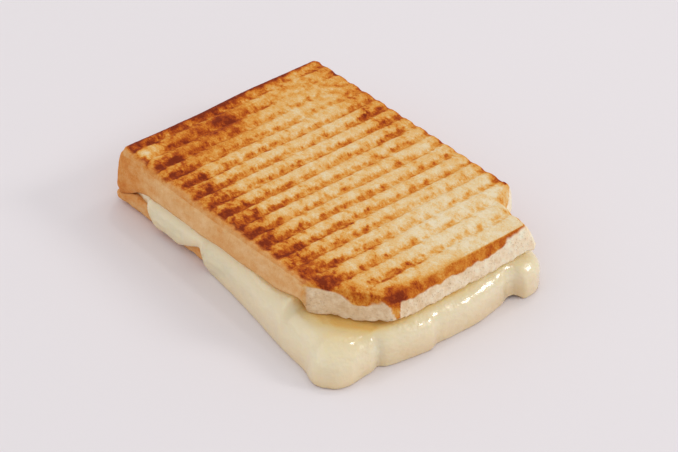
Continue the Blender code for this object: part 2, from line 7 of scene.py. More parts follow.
import logging
import math
from dataclasses import dataclass, field
from enum import Enum
from typing import Any, Mapping, Sequence, Union

import bmesh
import bpy
import numpy as np
from mathutils import Matrix, Vector, noise


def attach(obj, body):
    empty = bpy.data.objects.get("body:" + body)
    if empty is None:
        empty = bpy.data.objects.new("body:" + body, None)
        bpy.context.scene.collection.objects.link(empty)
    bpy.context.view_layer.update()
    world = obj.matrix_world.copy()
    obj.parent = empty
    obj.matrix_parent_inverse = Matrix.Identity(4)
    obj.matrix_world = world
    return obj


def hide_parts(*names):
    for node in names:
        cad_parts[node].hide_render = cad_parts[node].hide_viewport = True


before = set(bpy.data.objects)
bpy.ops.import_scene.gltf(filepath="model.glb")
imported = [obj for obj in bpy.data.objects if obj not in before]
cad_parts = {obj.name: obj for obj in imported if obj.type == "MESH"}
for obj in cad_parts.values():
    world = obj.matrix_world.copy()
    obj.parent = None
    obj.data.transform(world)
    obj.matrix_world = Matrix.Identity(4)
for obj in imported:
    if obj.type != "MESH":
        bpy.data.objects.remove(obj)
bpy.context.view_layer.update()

Colour = tuple[float, float, float]
Pair = tuple[float, float]
Number = Union[float, "Value"]

MM = 0.001
FRAME_SHIFT = np.array((-0.553, 3.734, 0.0))
SEED_STEP = 17.3
CORE = ((-38.0, -22.0), (34.0, 22.0))
CORE_SHARES = (0.1, 0.38)
BODY = "root"

log = logging.getLogger("toastie")


class LightLevel(Enum):
    """Share of a surface's own brightness that the studio light shows, by where the surface is."""

    TOP = 0.9
    SIDE = 0.77
    CHEESE = 0.9


def seen(colour: Colour, level: LightLevel = LightLevel.TOP) -> tuple[float, float, float, float]:
    """The surface colour that looks like this one under the studio light.

    Args:
        colour: Red, green and blue as they look, 0 to 255.
        level: How bright the light is there.

    Returns:
        The linear colour with an alpha of 1.
    """
    linear = [((c / 255.0 + 0.055) / 1.055) ** 2.4 / level.value for c in colour]
    return (min(linear[0], 1.0), min(linear[1], 1.0), min(linear[2], 1.0), 1.0)


def smooth(value: Any) -> Any:
    """A soft step from 0 to 1, for numbers and arrays."""
    value = np.clip(value, 0.0, 1.0)
    return value * value * (3.0 - 2.0 * value)


def rise(value: Any, start: float, width: float) -> Any:
    """A soft step from 0 to 1 that starts here and is this wide."""
    return smooth((value - start) / width)


def mix(first: Any, second: Any, share: Any) -> Any:
    """The value this share of the way from first to second."""
    return first + (second - first) * share


def bell(value: Any, middle: float, width: float) -> Any:
    """A soft peak of height 1 at the middle."""
    return np.exp(-((value - middle) / width) ** 2)


def direction(azimuth: float, elevation: float) -> Vector:
    """The unit vector at this azimuth and elevation in radians; azimuth 0 is -Y and turns towards +X."""
    level = math.cos(elevation)
    return Vector((math.sin(azimuth) * level, -math.cos(azimuth) * level, math.sin(elevation)))


class Waves(Enum):
    """Smooth unevenness: the size of its bumps in millimetres, and its seed."""

    FACE = (28.0, 1)
    CRUST = (14.0, 2)
    CRUST_LUMPS = (4.5, 3)
    TEARS = (1.7, 4)
    LONG_TEARS = (5.5, 5)
    SCORCH_TEARS = (2.6, 11)
    BEVEL_TONE = (5.0, 12)
    CRUST_TONE = (20.0, 14)
    LONG_SCORCH_TEARS = (7.0, 15)
    GROOVE_TONE = (11.0, 21)
    PATCH_EDGES = (3.2, 23)
    SKIRT_EDGE = (2.8, 24)
    BAR_ENDS = (8.0, 31)

    def at(self, x: Any, y: Any, z: Any = 0.0) -> np.ndarray:
        """The unevenness from -1 to 1.

        Args:
            x: Places in millimetres; x, y and z broadcast against each other.
            y: Places in millimetres.
            z: Places in millimetres.

        Returns:
            One value for each place.
        """
        size, seed = self.value
        places = np.stack(np.broadcast_arrays(x, y, z), axis=-1) / size
        flat = places.reshape(-1, 3) + (SEED_STEP * seed, 0.0, 0.0)
        return np.array([noise.noise(Vector(place)) for place in flat]).reshape(places.shape[:-1])


class Value:
    """A node socket that arithmetic can be written with."""

    def __init__(self, graph: "Graph", socket: bpy.types.NodeSocket) -> None:
        """Keeps the socket and the graph that it belongs to."""
        self.graph = graph
        self.socket = socket

    def output(self, name: str) -> "Value":
        """Another output of the same node."""
        return Value(self.graph, self.socket.node.outputs[name])

    def __add__(self, other: Number) -> "Value":
        """Adds."""
        return self.graph.math("ADD", self, other)

    __radd__ = __add__

    def __sub__(self, other: Number) -> "Value":
        """Subtracts."""
        return self.graph.math("SUBTRACT", self, other)

    def __rsub__(self, other: Number) -> "Value":
        """Subtracts this from a number."""
        return self.graph.math("SUBTRACT", other, self)

    def __mul__(self, other: Number) -> "Value":
        """Multiplies."""
        return self.graph.math("MULTIPLY", self, other)

    def __truediv__(self, other: Number) -> "Value":
        """Divides."""
        return self.graph.math("DIVIDE", self, other)

    def __abs__(self) -> "Value":
        """The size without the sign."""
        return self.graph.math("ABSOLUTE", self)

    def rise(self, start: float, end: float) -> "Value":
        """A soft step from 0 at start to 1 at end."""
        settings = {"interpolation_type": "SMOOTHSTEP"}
        return self.graph.add("ShaderNodeMapRange", settings, {0: self, 1: start, 2: end})


class Graph:
    """Builds the nodes of one material or of one geometry tree."""

    def __init__(self, tree: bpy.types.NodeTree) -> None:
        """Keeps the tree that the nodes go into."""
        self.tree = tree

    def add(self, kind: str, settings: Mapping[str, Any], inputs: Mapping[Any, Any],
            output: Union[int, str] = 0) -> Value:
        """Adds a node.

        Args:
            kind: The node's type.
            settings: Its settings; "stops" holds the places and linear colours of a ramp.
            inputs: A value or a link for each socket, by name or number.
            output: The output that is returned.

        Returns:
            The chosen output.
        """
        node = self.tree.nodes.new(kind)
        for name, setting in settings.items():
            if name == "stops":
                self._set_stops(node.color_ramp, setting)
            else:
                setattr(node, name, setting)
        for name, value in inputs.items():
            if isinstance(value, Value):
                self.tree.links.new(value.socket, node.inputs[name])
            else:
                node.inputs[name].default_value = value
        return Value(self, node.outputs[output]) if node.outputs else Value(self, node.inputs[0])

    @staticmethod
    def _set_stops(ramp: bpy.types.ColorRamp, stops: Sequence[tuple[float, Sequence[float]]]) -> None:
        """Gives a ramp its places and its linear colours."""
        while len(ramp.elements) < len(stops):
            ramp.elements.new(1.0)
        for element, (place, colour) in zip(ramp.elements, stops):
            element.position = place
            element.color = colour

    def math(self, operation: str, *values: Number) -> Value:
        """A Math node on one or two values."""
        return self.add("ShaderNodeMath", {"operation": operation}, dict(enumerate(values)))

    def vector(self, operation: str, *values: Any) -> Value:
        """A Vector Math node."""
        return self.add("ShaderNodeVectorMath", {"operation": operation}, dict(enumerate(values)))

    def scaled(self, vector: Value, factor: Number) -> Value:
        """A vector times a number."""
        return self.add("ShaderNodeVectorMath", {"operation": "SCALE"}, {0: vector, "Scale": factor})

    def blend(self, share: Number, first: Any, second: Any) -> Value:
        """A mix of two colours."""
        return self.add("ShaderNodeMix", {"data_type": "RGBA"}, {0: share, 6: first, 7: second}, 2)

    def ramp(self, value: Value, stops: Sequence[tuple[float, Colour]], level: LightLevel) -> Value:
        """The colour that a ramp gives this value, from colours as they look in this light."""
        linear = [(place, seen(colour, level)) for place, colour in stops]
        return self.add("ShaderNodeValToRGB", {"stops": linear}, {0: value})

    def noise(self, place: Value, size: float, detail: float = 3.0, roughness: float = 0.5) -> Value:
        """Noise with patches of about this size, in millimetres of the place."""
        inputs = {"Vector": place, "Scale": 1.0 / size, "Detail": detail, "Roughness": roughness}
        return self.add("ShaderNodeTexNoise", {}, inputs)

    def cells(self, place: Value, size: float) -> Value:
        """Distance to the nearest of scattered points this far apart."""
        return self.add("ShaderNodeTexVoronoi", {}, {"Vector": place, "Scale": 1.0 / size})


class MaterialGraph(Graph):
    """The nodes of one material with a Principled surface."""

    def __init__(self, name: str) -> None:
        """Makes the material and clears its nodes."""
        self.material = bpy.data.materials.new(name)
        self.material.use_nodes = True
        super().__init__(self.material.node_tree)
        self.surface = self.tree.nodes["Principled BSDF"]

    def place(self) -> Value:
        """The place on the piece, in millimetres."""
        return self.scaled(self.add("ShaderNodeTexCoord", {}, {}, "Object"), 1.0 / MM)

    def stretched(self, place: Value, scale: tuple[float, float, float]) -> Value:
        """The place with each axis scaled, so that patterns are drawn out along one of them."""
        return self.vector("MULTIPLY", place, scale)

    def mark(self, name: str) -> Value:
        """A value that the mesh carries at its points."""
        return self.add("ShaderNodeAttribute", {"attribute_name": name}, {}, "Fac")

    def bump(self, height: Value, distance: float, strength: float = 1.0) -> Value:
        """A bump of this many millimetres."""
        return self.add("ShaderNodeBump", {}, {"Height": height, "Distance": distance * MM, "Strength": strength})

    def finish(self, **sockets: Any) -> bpy.types.Material:
        """Sets the surface's sockets, with _ for a space in their names, and returns the material."""
        for name, value in sockets.items():
            socket = self.surface.inputs[name.replace("_", " ")]
            if isinstance(value, Value):
                self.tree.links.new(value.socket, socket)
            else:
                socket.default_value = value
        return self.material


@dataclass(frozen=True)
class BreadFinish:
    """Toasted bread: browned face, tan crust sides and off-white crumb."""

    name: str
    blotch: float = 1.0
    fleck: float = 0.85
    grain: float = 0.5
    toast: tuple = (
        (0.0, (231, 211, 176)),
        (0.12, (227, 199, 152)),
        (0.25, (225, 182, 120)),
        (0.40, (220, 160, 80)),
        (0.54, (212, 134, 49)),
        (0.68, (191, 100, 26)),
        (0.82, (166, 70, 19)),
        (1.0, (124, 43, 13)),
    )
    crust: tuple = (
        (0.0, (214, 174, 126)),
        (0.3, (206, 156, 101)),
        (0.6, (198, 130, 66)),
        (0.85, (184, 102, 42)),
        (1.0, (138, 64, 22)),
    )
    crumb: tuple = ((0.0, (188, 150, 106)), (0.38, (213, 185, 149)), (0.6, (225, 204, 174)), (1.0, (238, 225, 203)))

    def material(self) -> bpy.types.Material:
        """Builds the material. The mesh carries pads, ribs, groove, crust and crumb."""
        graph = MaterialGraph(self.name)
        place = graph.place()
        blotches = graph.noise(place, 3.6, 3.0, 0.55) - 0.5
        flecks = graph.noise(graph.stretched(place, (0.62, 1.0, 0.7)), 1.3, 3.0, 0.6) - 0.5
        grain = graph.noise(place, 0.62, 3.0, 0.65) - 0.5
        pits = 1.0 - graph.cells(place, 1.25).rise(0.12, 0.42)
        pads, ribs = graph.mark("pads"), graph.mark("ribs")
        mark = graph.mark("groove") * 1.1 + ribs * 0.75 - 0.32
        mark = (mark + flecks * 0.75 + blotches * 1.3).rise(0.1, 0.95)
        level = pads + (ribs - pads) * mark
        level = level + blotches * self.blotch * (0.6 + mark * 0.6) + flecks * self.fleck * (0.4 + mark * 0.35)
        level = level + grain * self.grain + (grain + flecks * 0.5).rise(0.2, 0.3) * 0.2
        face = graph.ramp(level, self.toast, LightLevel.TOP)
        broad = graph.noise(graph.stretched(place, (0.5, 1.0, 1.0)), 5.0, 2.0, 0.5) - 0.5
        worn = blotches * 0.5 + broad * 0.7 + grain * 0.5 + flecks * 0.4
        side = graph.ramp(pads + worn, self.crust, LightLevel.SIDE)
        # The crumb grows tanner towards -Y and whiter towards +Y: painted warm light thrown up from the cheese below
        across = graph.add("ShaderNodeSeparateXYZ", {}, {0: place}, 1)
        # The pores are also a little darker in colour: painted shade in the hollows
        soft = graph.noise(place, 3.0, 5.0, 0.58) + grain * 0.24 - pits * 0.03 + across * 0.004
        inside = graph.ramp(soft, self.crumb, LightLevel.SIDE)
        colour = graph.blend(graph.mark("crust"), face, side)
        colour = graph.blend(graph.mark("crumb"), colour, inside)
        height = grain * 0.7 + flecks * 0.3 - pits * (0.2 + graph.mark("crumb") * 0.3)
        roughness = 0.84 - level.rise(0.5, 1.0) * 0.14 + grain * 0.2
        return graph.finish(Base_Color=colour, Roughness=roughness, Normal=graph.bump(height, 0.4),
                            Specular_IOR_Level=0.1, Subsurface_Weight=0.05,
                            Subsurface_Radius=(1.0, 0.6, 0.3), Subsurface_Scale=0.0015)


@dataclass(frozen=True)
class CheeseFinish:
    """Melted cheese: glossy, pale yellow and a little translucent."""

    name: str = "melted_cheese_finish"
    # Colours by fall. The darker golden stops near 0 are painted shade under the top slice, with a painted warm glow
    # of light through the cheese. The darker stops at the hem are painted shade where the cheese meets the floor,
    # with the same painted warm glow at its thin edge.
    body: tuple = (
        (0.0, (221, 176, 94)),
        (0.07, (225, 199, 138)),
        (0.2, (224, 205, 161)),
        (0.55, (231, 214, 178)),
        (0.82, (228, 206, 166)),
        (0.93, (222, 193, 146)),
        (1.0, (204, 166, 108)),
    )

    def material(self) -> bpy.types.Material:
        """Builds the material. The mesh carries fall, from 0 under the bread to 1 at the hem."""
        graph = MaterialGraph(self.name)
        place = graph.place()
        clouds = graph.noise(place, 11.0, 2.0, 0.5) - 0.5
        ripples = graph.noise(graph.stretched(place, (1.0, 1.0, 1.6)), 2.9, 2.0, 0.5)
        dimples = graph.cells(place, 2.6).rise(0.0, 0.35)
        # The ramp paints shade under the top slice and along the hem; in between is the cheese's own pale cream
        colour = graph.ramp(graph.mark("fall") + clouds * 0.16, self.body, LightLevel.CHEESE)
        fine = graph.noise(graph.stretched(place, (1.0, 0.5, 1.0)), 1.2, 2.0, 0.5)
        height = ripples * 0.75 + fine * 0.16 + dimples * 0.1
        roughness = 0.24 + graph.noise(place, 2.0, 3.0, 0.6) * 0.14
        return graph.finish(Base_Color=colour, Roughness=roughness, Normal=graph.bump(height, 0.6),
                            Specular_IOR_Level=0.5, Subsurface_Weight=0.4,
                            Subsurface_Radius=(1.0, 0.7, 0.35), Subsurface_Scale=0.003,
                            Coat_Weight=1.0, Coat_Roughness=0.06)


@dataclass(frozen=True)
class FloorFinish:
    """A plain pale floor."""

    colour: Colour = (227, 219, 219)

    def material(self) -> bpy.types.Material:
        """Builds the material."""
        graph = MaterialGraph("floor_finish")
        tone = graph.noise(graph.place(), 160.0, 2.0, 0.5)
        darker = tuple(part - 2.0 for part in self.colour)
        colour = graph.blend(tone, seen(self.colour), seen(darker))
        return graph.finish(Base_Color=colour, Roughness=0.55, Specular_IOR_Level=0.3)


@dataclass
class Shell:
    """Points, faces and point values of one closed body, in millimetres."""

    points: list = field(default_factory=list)
    faces: list = field(default_factory=list)
    marks: dict = field(default_factory=dict)
    count: int = 0

    def add(self, points: np.ndarray, marks: Mapping[str, Any]) -> np.ndarray:
        """Adds points.

        Args:
            points: Any number of points, with x, y, z last.
            marks: A value or an array of values for each mark.

        Returns:
            The points' numbers, in the shape that they came in.
        """
        shape = points.shape[:-1]
        self.points.append(points.reshape(-1, 3))
        for name, values in marks.items():
            spread = np.broadcast_to(values, shape).reshape(-1)
            self.marks.setdefault(name, []).append(spread)
        numbers = np.arange(self.count, self.count + int(np.prod(shape)))
        self.count += len(numbers)
        return numbers.reshape(shape)

    def grid(self, numbers: np.ndarray) -> None:
        """Adds the faces of a grid of numbered points."""
        corners = (numbers[:-1, :-1], numbers[1:, :-1], numbers[1:, 1:], numbers[:-1, 1:])
        self.faces += np.stack(corners, axis=-1).reshape(-1, 4).tolist()

    def band(self, rings: np.ndarray) -> None:
        """Adds the faces between closed rings, given as rows of numbers."""
        self.grid(np.concatenate((rings, rings[:, :1]), axis=1))

    def cap(self, ring: np.ndarray) -> None:
        """Closes a ring with one face."""
        self.faces.append(ring.tolist())

    def make(self, name: str) -> bpy.types.Object:
        """A named object from the shell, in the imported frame, with its faces turned outwards."""
        mesh = bpy.data.meshes.new(name)
        points = (np.concatenate(self.points) + FRAME_SHIFT) * MM
        mesh.from_pydata(points.tolist(), [], self.faces)
        model = bmesh.new()
        model.from_mesh(mesh)
        bmesh.ops.recalc_face_normals(model, faces=model.faces)
        model.to_mesh(mesh)
        model.free()
        for mark, parts in self.marks.items():
            layer = mesh.attributes.new(mark, "FLOAT", "POINT")
            layer.data.foreach_set("value", np.concatenate(parts).astype(np.float32))
        mesh.shade_smooth()
        piece = bpy.data.objects.new(name, mesh)
        bpy.context.scene.collection.objects.link(piece)
        return piece


class GeometryTree(Graph):
    """A geometry tree with named inputs, which ends in realized instances and a material."""

    def __init__(self, name: str, inputs: Mapping[str, Any]) -> None:
        """Makes the tree with a geometry input and the named ones.

        Args:
            name: The tree's name.
            inputs: The value of each named input; an int makes a whole-number input.
        """
        super().__init__(bpy.data.node_groups.new(name, "GeometryNodeTree"))
        self.values = dict(inputs)
        faces = self.tree.interface
        faces.new_socket("Geometry", in_out="INPUT", socket_type="NodeSocketGeometry")
        for key, value in inputs.items():
            kind = "NodeSocketInt" if isinstance(value, int) else "NodeSocketFloat"
            kind = "NodeSocketMaterial" if isinstance(value, bpy.types.Material) else kind
            faces.new_socket(key, in_out="INPUT", socket_type=kind)
        faces.new_socket("Geometry", in_out="OUTPUT", socket_type="NodeSocketGeometry")
        self.entry = self.add("NodeGroupInput", {}, {})

    def value(self, name: str) -> Value:
        """One of the named inputs."""
        return self.entry.output(name)

    def place(self) -> Value:
        """The place of each point, in metres."""
        return self.add("GeometryNodeInputPosition", {}, {})

    def seeded(self, place: Value) -> Value:
        """The place moved by the seed, for noise."""
        return self.vector("ADD", place, self.add("ShaderNodeCombineXYZ", {}, {"X": self.value("Seed")}))

    def read(self, name: str) -> Value:
        """A value that the mesh carries at its points."""
        return self.add("GeometryNodeInputNamedAttribute", {"data_type": "FLOAT"}, {"Name": name})

    def store(self, geometry: Value, name: str, value: Value) -> Value:
        """Stores a value at the mesh's points."""
        return self.add("GeometryNodeStoreNamedAttribute", {"data_type": "FLOAT", "domain": "POINT"},
                        {"Geometry": geometry, "Name": name, "Value": value})

    def moved(self, geometry: Value, offset: Value) -> Value:
        """Moves the points."""
        return self.add("GeometryNodeSetPosition", {}, {"Geometry": geometry, "Offset": offset})

    def raised(self, geometry: Value, height: Value) -> Value:
        """Moves the points out along their normals."""
        return self.moved(geometry, self.scaled(self.add("GeometryNodeInputNormal", {}, {}), height))

    def apply(self, piece: bpy.types.Object, result: Value) -> bpy.types.Object:
        """Ends the tree, runs it on a piece and makes the result its plain mesh.

        Args:
            piece: The object that the tree works on.
            result: The geometry that the tree gives.

        Returns:
            The same object with its new mesh.
        """
        real = self.add("GeometryNodeRealizeInstances", {}, {0: result})
        dressed = self.add("GeometryNodeSetMaterial", {}, {"Geometry": real, "Material": self.value("Finish")})
        self.add("NodeGroupOutput", {}, {0: dressed})
        modifier = piece.modifiers.new(self.tree.name, "NODES")
        modifier.node_group = self.tree
        for item in self.tree.interface.items_tree:
            if item.item_type == "SOCKET" and item.in_out == "INPUT" and item.name in self.values:
                modifier[item.identifier] = self.values[item.name]
        graph = bpy.context.evaluated_depsgraph_get()
        mesh = bpy.data.meshes.new_from_object(piece.evaluated_get(graph), depsgraph=graph)
        piece.modifiers.remove(modifier)
        piece.data = mesh
        # Nothing reaches below the surface that the sandwich lies on
        places = np.empty(len(mesh.vertices) * 3)
        mesh.vertices.foreach_get("co", places)
        places[2::3] = np.maximum(places[2::3], 0.0)
        mesh.vertices.foreach_set("co", places)
        mesh.shade_smooth()
        return piece


@dataclass(frozen=True)
class GrillPress:
    """The ribbed plate that pressed a slice: grooves at an even pitch, a little wider at the cut end."""

    first: float = -62.9
    pitch: float = 7.8
    end_pitch: float = 8.7
    grooves: int = 16
    stretched: int = 2
    half_share: float = 0.36
    depth: float = 1.2
    notch: float = 0.7
    patch: tuple[float, float, float, float] = (-50.0, 31.0, 15.0, 16.0)
    patch_share: float = 0.15
    worn: float = 0.25
    edge_share: float = 0.35
    edge_fade: float = 12.0
    long_edges: Pair = (-47.5, 50.4)
    crag_size: float = 2.4
    lump_size: float = 1.7
    pore_size: float = 2.3

    def stretch_start(self) -> float:
        """The x where the wider pitch starts."""
        return self.first + (self.grooves - 1 - self.stretched) * self.pitch

    def strength(self, x: np.ndarray, y: np.ndarray) -> np.ndarray:
        """How deep the grooves are pressed at each place, from 0 to 1."""
        patch_x, patch_y, half_x, half_y = self.patch
        reach = np.hypot((x - patch_x) / half_x, (y - patch_y) / half_y)
        from_edges = np.minimum(y - self.long_edges[0], self.long_edges[1] - y)
        faded = mix(self.edge_share, 1.0, rise(from_edges, 0.0, self.edge_fade))
        return mix(self.patch_share, 1.0, rise(reach, 0.7, 0.6)) * (1.0 - self.worn * rise(x, 30.0, 30.0)) * faded

    def press(self, piece: bpy.types.Object, finish: bpy.types.Material, grain: float, pores: float,
              upwards: bool, seed: int) -> bpy.types.Object:
        """Presses the grooves into a slab and roughens its skin, with Geometry Nodes.

        Args:
            piece: The slab, whose mesh carries press, drop, edge, side, crumb and rough.
            finish: Its material.
            grain: Height of the skin's roughness in millimetres.
            pores: Depth of the pores in cut crumb in millimetres.
            upwards: Whether the grooved face looks up.
            seed: Seed of the roughness.

        Returns:
            The same object with its new mesh.
        """
        tree = GeometryTree("grill_press_" + piece.name, {
            "First Groove": (self.first + float(FRAME_SHIFT[0])) * MM,
            "Groove Pitch": self.pitch * MM,
            "End Pitch": self.end_pitch * MM,
            "Stretch Start": (self.stretch_start() + float(FRAME_SHIFT[0])) * MM,
            "Last Groove": self.grooves - 1,
            "Half Share": self.half_share,
            "Groove Depth": (self.depth if upwards else -self.depth) * MM,
            "Edge Notch": self.notch * MM,
            "Grain Height": grain * MM,
            "Pore Depth": pores * MM,
            "Seed": seed,
            "Finish": finish,
        })
        place = tree.place()
        x = tree.add("ShaderNodeSeparateXYZ", {}, {0: place})
        past = tree.math("MAXIMUM", x - tree.value("Stretch Start"), 0.0)
        warped = x - past * (1.0 - tree.value("Groove Pitch") / tree.value("End Pitch"))
        phase = (warped - tree.value("First Groove")) / tree.value("Groove Pitch")
        nearest = tree.math("MINIMUM", tree.math("ROUND", phase), tree.value("Last Groove"))
        nearest = tree.math("MAXIMUM", nearest, 0.0)
        away = tree.math("MINIMUM", abs(phase - nearest) / tree.value("Half Share"), 1.0)
        profile = tree.math("COSINE", away * math.pi) * 0.5 + 0.5
        groove = profile * tree.read("press")
        down = groove * tree.read("drop") * tree.value("Groove Depth") * -1.0
        inwards = groove * tree.read("edge") * tree.read("side") * tree.value("Edge Notch") * -1.0
        offset = tree.add("ShaderNodeCombineXYZ", {}, {"Y": inwards, "Z": down})
        shaped = tree.moved(tree.store(tree.value("Geometry"), "groove", profile), offset)
        seeded = tree.seeded(place)
        crags = tree.noise(seeded, self.crag_size * MM, 3.0, 0.62) - 0.5
        lumps = tree.noise(seeded, self.lump_size * MM, 2.0, 0.6)
        pits = (1.0 - tree.cells(seeded, self.pore_size * MM).rise(0.1, 0.5)) * lumps.rise(0.4, 0.62)
        relief = crags * 2.0 * tree.read("rough") * tree.value("Grain Height")
        relief = relief - pits * tree.read("crumb") * tree.value("Pore Depth")
        return tree.apply(piece, tree.raised(shaped, relief))


def rounded_outline(corners: Sequence[tuple[float, float, float]], arc_steps: int = 9) -> np.ndarray:
    """The closed outline through rounded corners.

    Args:
        corners: x, y and rounding radius of each corner, anticlockwise.
        arc_steps: Steps along each rounding.

    Returns:
        The outline's points, as rows of x and y.
    """
    points = []
    for index, (x, y, radius) in enumerate(corners):
        corner = np.array((x, y))
        before = np.array(corners[index - 1][:2]) - corner
        after = np.array(corners[(index + 1) % len(corners)][:2]) - corner
        before /= np.linalg.norm(before)
        after /= np.linalg.norm(after)
        half_angle = math.acos(float(before @ after)) / 2.0
        way = math.copysign(1.0, after[0] * before[1] - after[1] * before[0])
        middle = (before + after) / np.linalg.norm(before + after)
        centre = corner + middle * radius / math.sin(half_angle)
        start = corner + before * radius / math.tan(half_angle) - centre
        for step in range(arc_steps + 1):
            turn = way * (math.pi - 2.0 * half_angle) * step / arc_steps
            cos, sin = math.cos(turn), math.sin(turn)
            points.append(centre + (cos * start[0] - sin * start[1], sin * start[0] + cos * start[1]))
    return np.array(points)


def outward_normals(loop: np.ndarray) -> np.ndarray:
    """Unit vectors that point out of a closed anticlockwise loop."""
    tangent = np.roll(loop, -1, axis=0) - np.roll(loop, 1, axis=0)
    normal = np.stack((tangent[:, 1], -tangent[:, 0]), axis=1)
    return normal / np.linalg.norm(normal, axis=1)[:, None]


def towards_core(points: np.ndarray, share: float) -> np.ndarray:
    """Points moved this share of the way towards a rectangle in the middle of the sandwich."""
    return mix(points, np.clip(points, *CORE), share)


@dataclass(frozen=True)
class Scorch:
    """A patch of bread that is browner, or paler, than the rest."""

    x: float
    y: float
    half_x: float
    half_y: float
    pads: float
    ribs: float

    def reach(self, x: np.ndarray, y: np.ndarray) -> np.ndarray:
        """1 in the middle of the patch, falling softly to 0 outside it."""
        return 1.0 - rise(np.hypot((x - self.x) / self.half_x, (y - self.y) / self.half_y), 0.35, 1.0)


@dataclass(frozen=True)
class ToastMap:
    """How brown a slice's pads and grooves are, from 0 to 1, by place."""

    pads: float = 0.23
    ribs: float = 0.46
    patches: tuple[Scorch, ...] = ()

    def levels(self, x: np.ndarray, y: np.ndarray, distance: np.ndarray) -> tuple[np.ndarray, np.ndarray]:
        """The browning of the pads and of the grooves.

        Args:
            x: Places in millimetres.
            y: Places in millimetres.
            distance: How far in from the outline each place is.

        Returns:
            The two levels at each place.
        """
        near = rise(-y, 27.0, 12.0) * (1.0 - 0.35 * rise(x, 36.0, 16.0))
        bars = rise(-y, 31.0 + 2.0 * Waves.BAR_ENDS.at(x, 0.0), 3.0)
        crust_end = (1.0 - rise(x, -56.0, 26.0)) * rise(-y, -18.0, 22.0) * (1.0 - near)
        rim = np.exp(-distance / 1.1) * np.maximum(rise(y, 8.0, 16.0) * (x < 42.0), 1.0 - rise(x, -65.0, 5.0))
        cut_rim = np.exp(-distance / 1.7) * rise(x, 57.0, 3.0) * rise(-y, -20.0, 26.0)
        ragged = 1.0 + 0.6 * Waves.PATCH_EDGES.at(x, y)
        pads, ribs = self.pads, self.ribs
        # Each zone's share at the places, and how much browner it makes the pads and the grooves
        for share, on_pads, on_ribs in (
            (rise(-y, 6.0, 20.0), 0.06, 0.0),
            (rise(-y, -2.0, 20.0), 0.0, 0.12),
            (near, 0.27, 0.14),
            (bars, 0.0, 0.17),
            (bars * rise(x, 8.0, 34.0), 0.0, -0.12),
            (crust_end, 0.2, 0.12),
            (rise(x, 22.0, 24.0) * rise(y, -22.0, 36.0), -0.13, -0.23),
            (Waves.GROOVE_TONE.at(x * 1.8, y), 0.0, 0.14),
            (rim, 0.5, 0.4),
            (cut_rim, 0.28, 0.2),
            *((np.clip(patch.reach(x, y) * ragged, 0.0, 1.0), patch.pads, patch.ribs) for patch in self.patches),
        ):
            pads, ribs = pads + on_pads * share, ribs + on_ribs * share
        skirt = self.skirt(x, y, distance)
        pads, ribs = mix(pads, 0.46, skirt), mix(ribs, 0.5, skirt)
        return np.clip(pads, 0.0, 1.0), np.clip(ribs, 0.0, 1.0)

    def skirt(self, x: np.ndarray, y: np.ndarray, distance: Any) -> np.ndarray:
        """How much of the near side's crust reaches onto the face, from 0 to 1.

        Args:
            x: Places in millimetres.
            y: Places in millimetres.
            distance: How far in from the outline each place is.

        Returns:
            The share of crust at each place.
        """
        soft = 1.0 - rise(distance + 1.3 * Waves.SKIRT_EDGE.at(x, y), 0.2, 2.2)
        return soft * rise(-y, 40.0, 4.0) * (1.0 - rise(x, 36.0, 8.0))


class Facing(Enum):
    """Which way a slice's grooved face looks."""

    UP = 1
    DOWN = -1


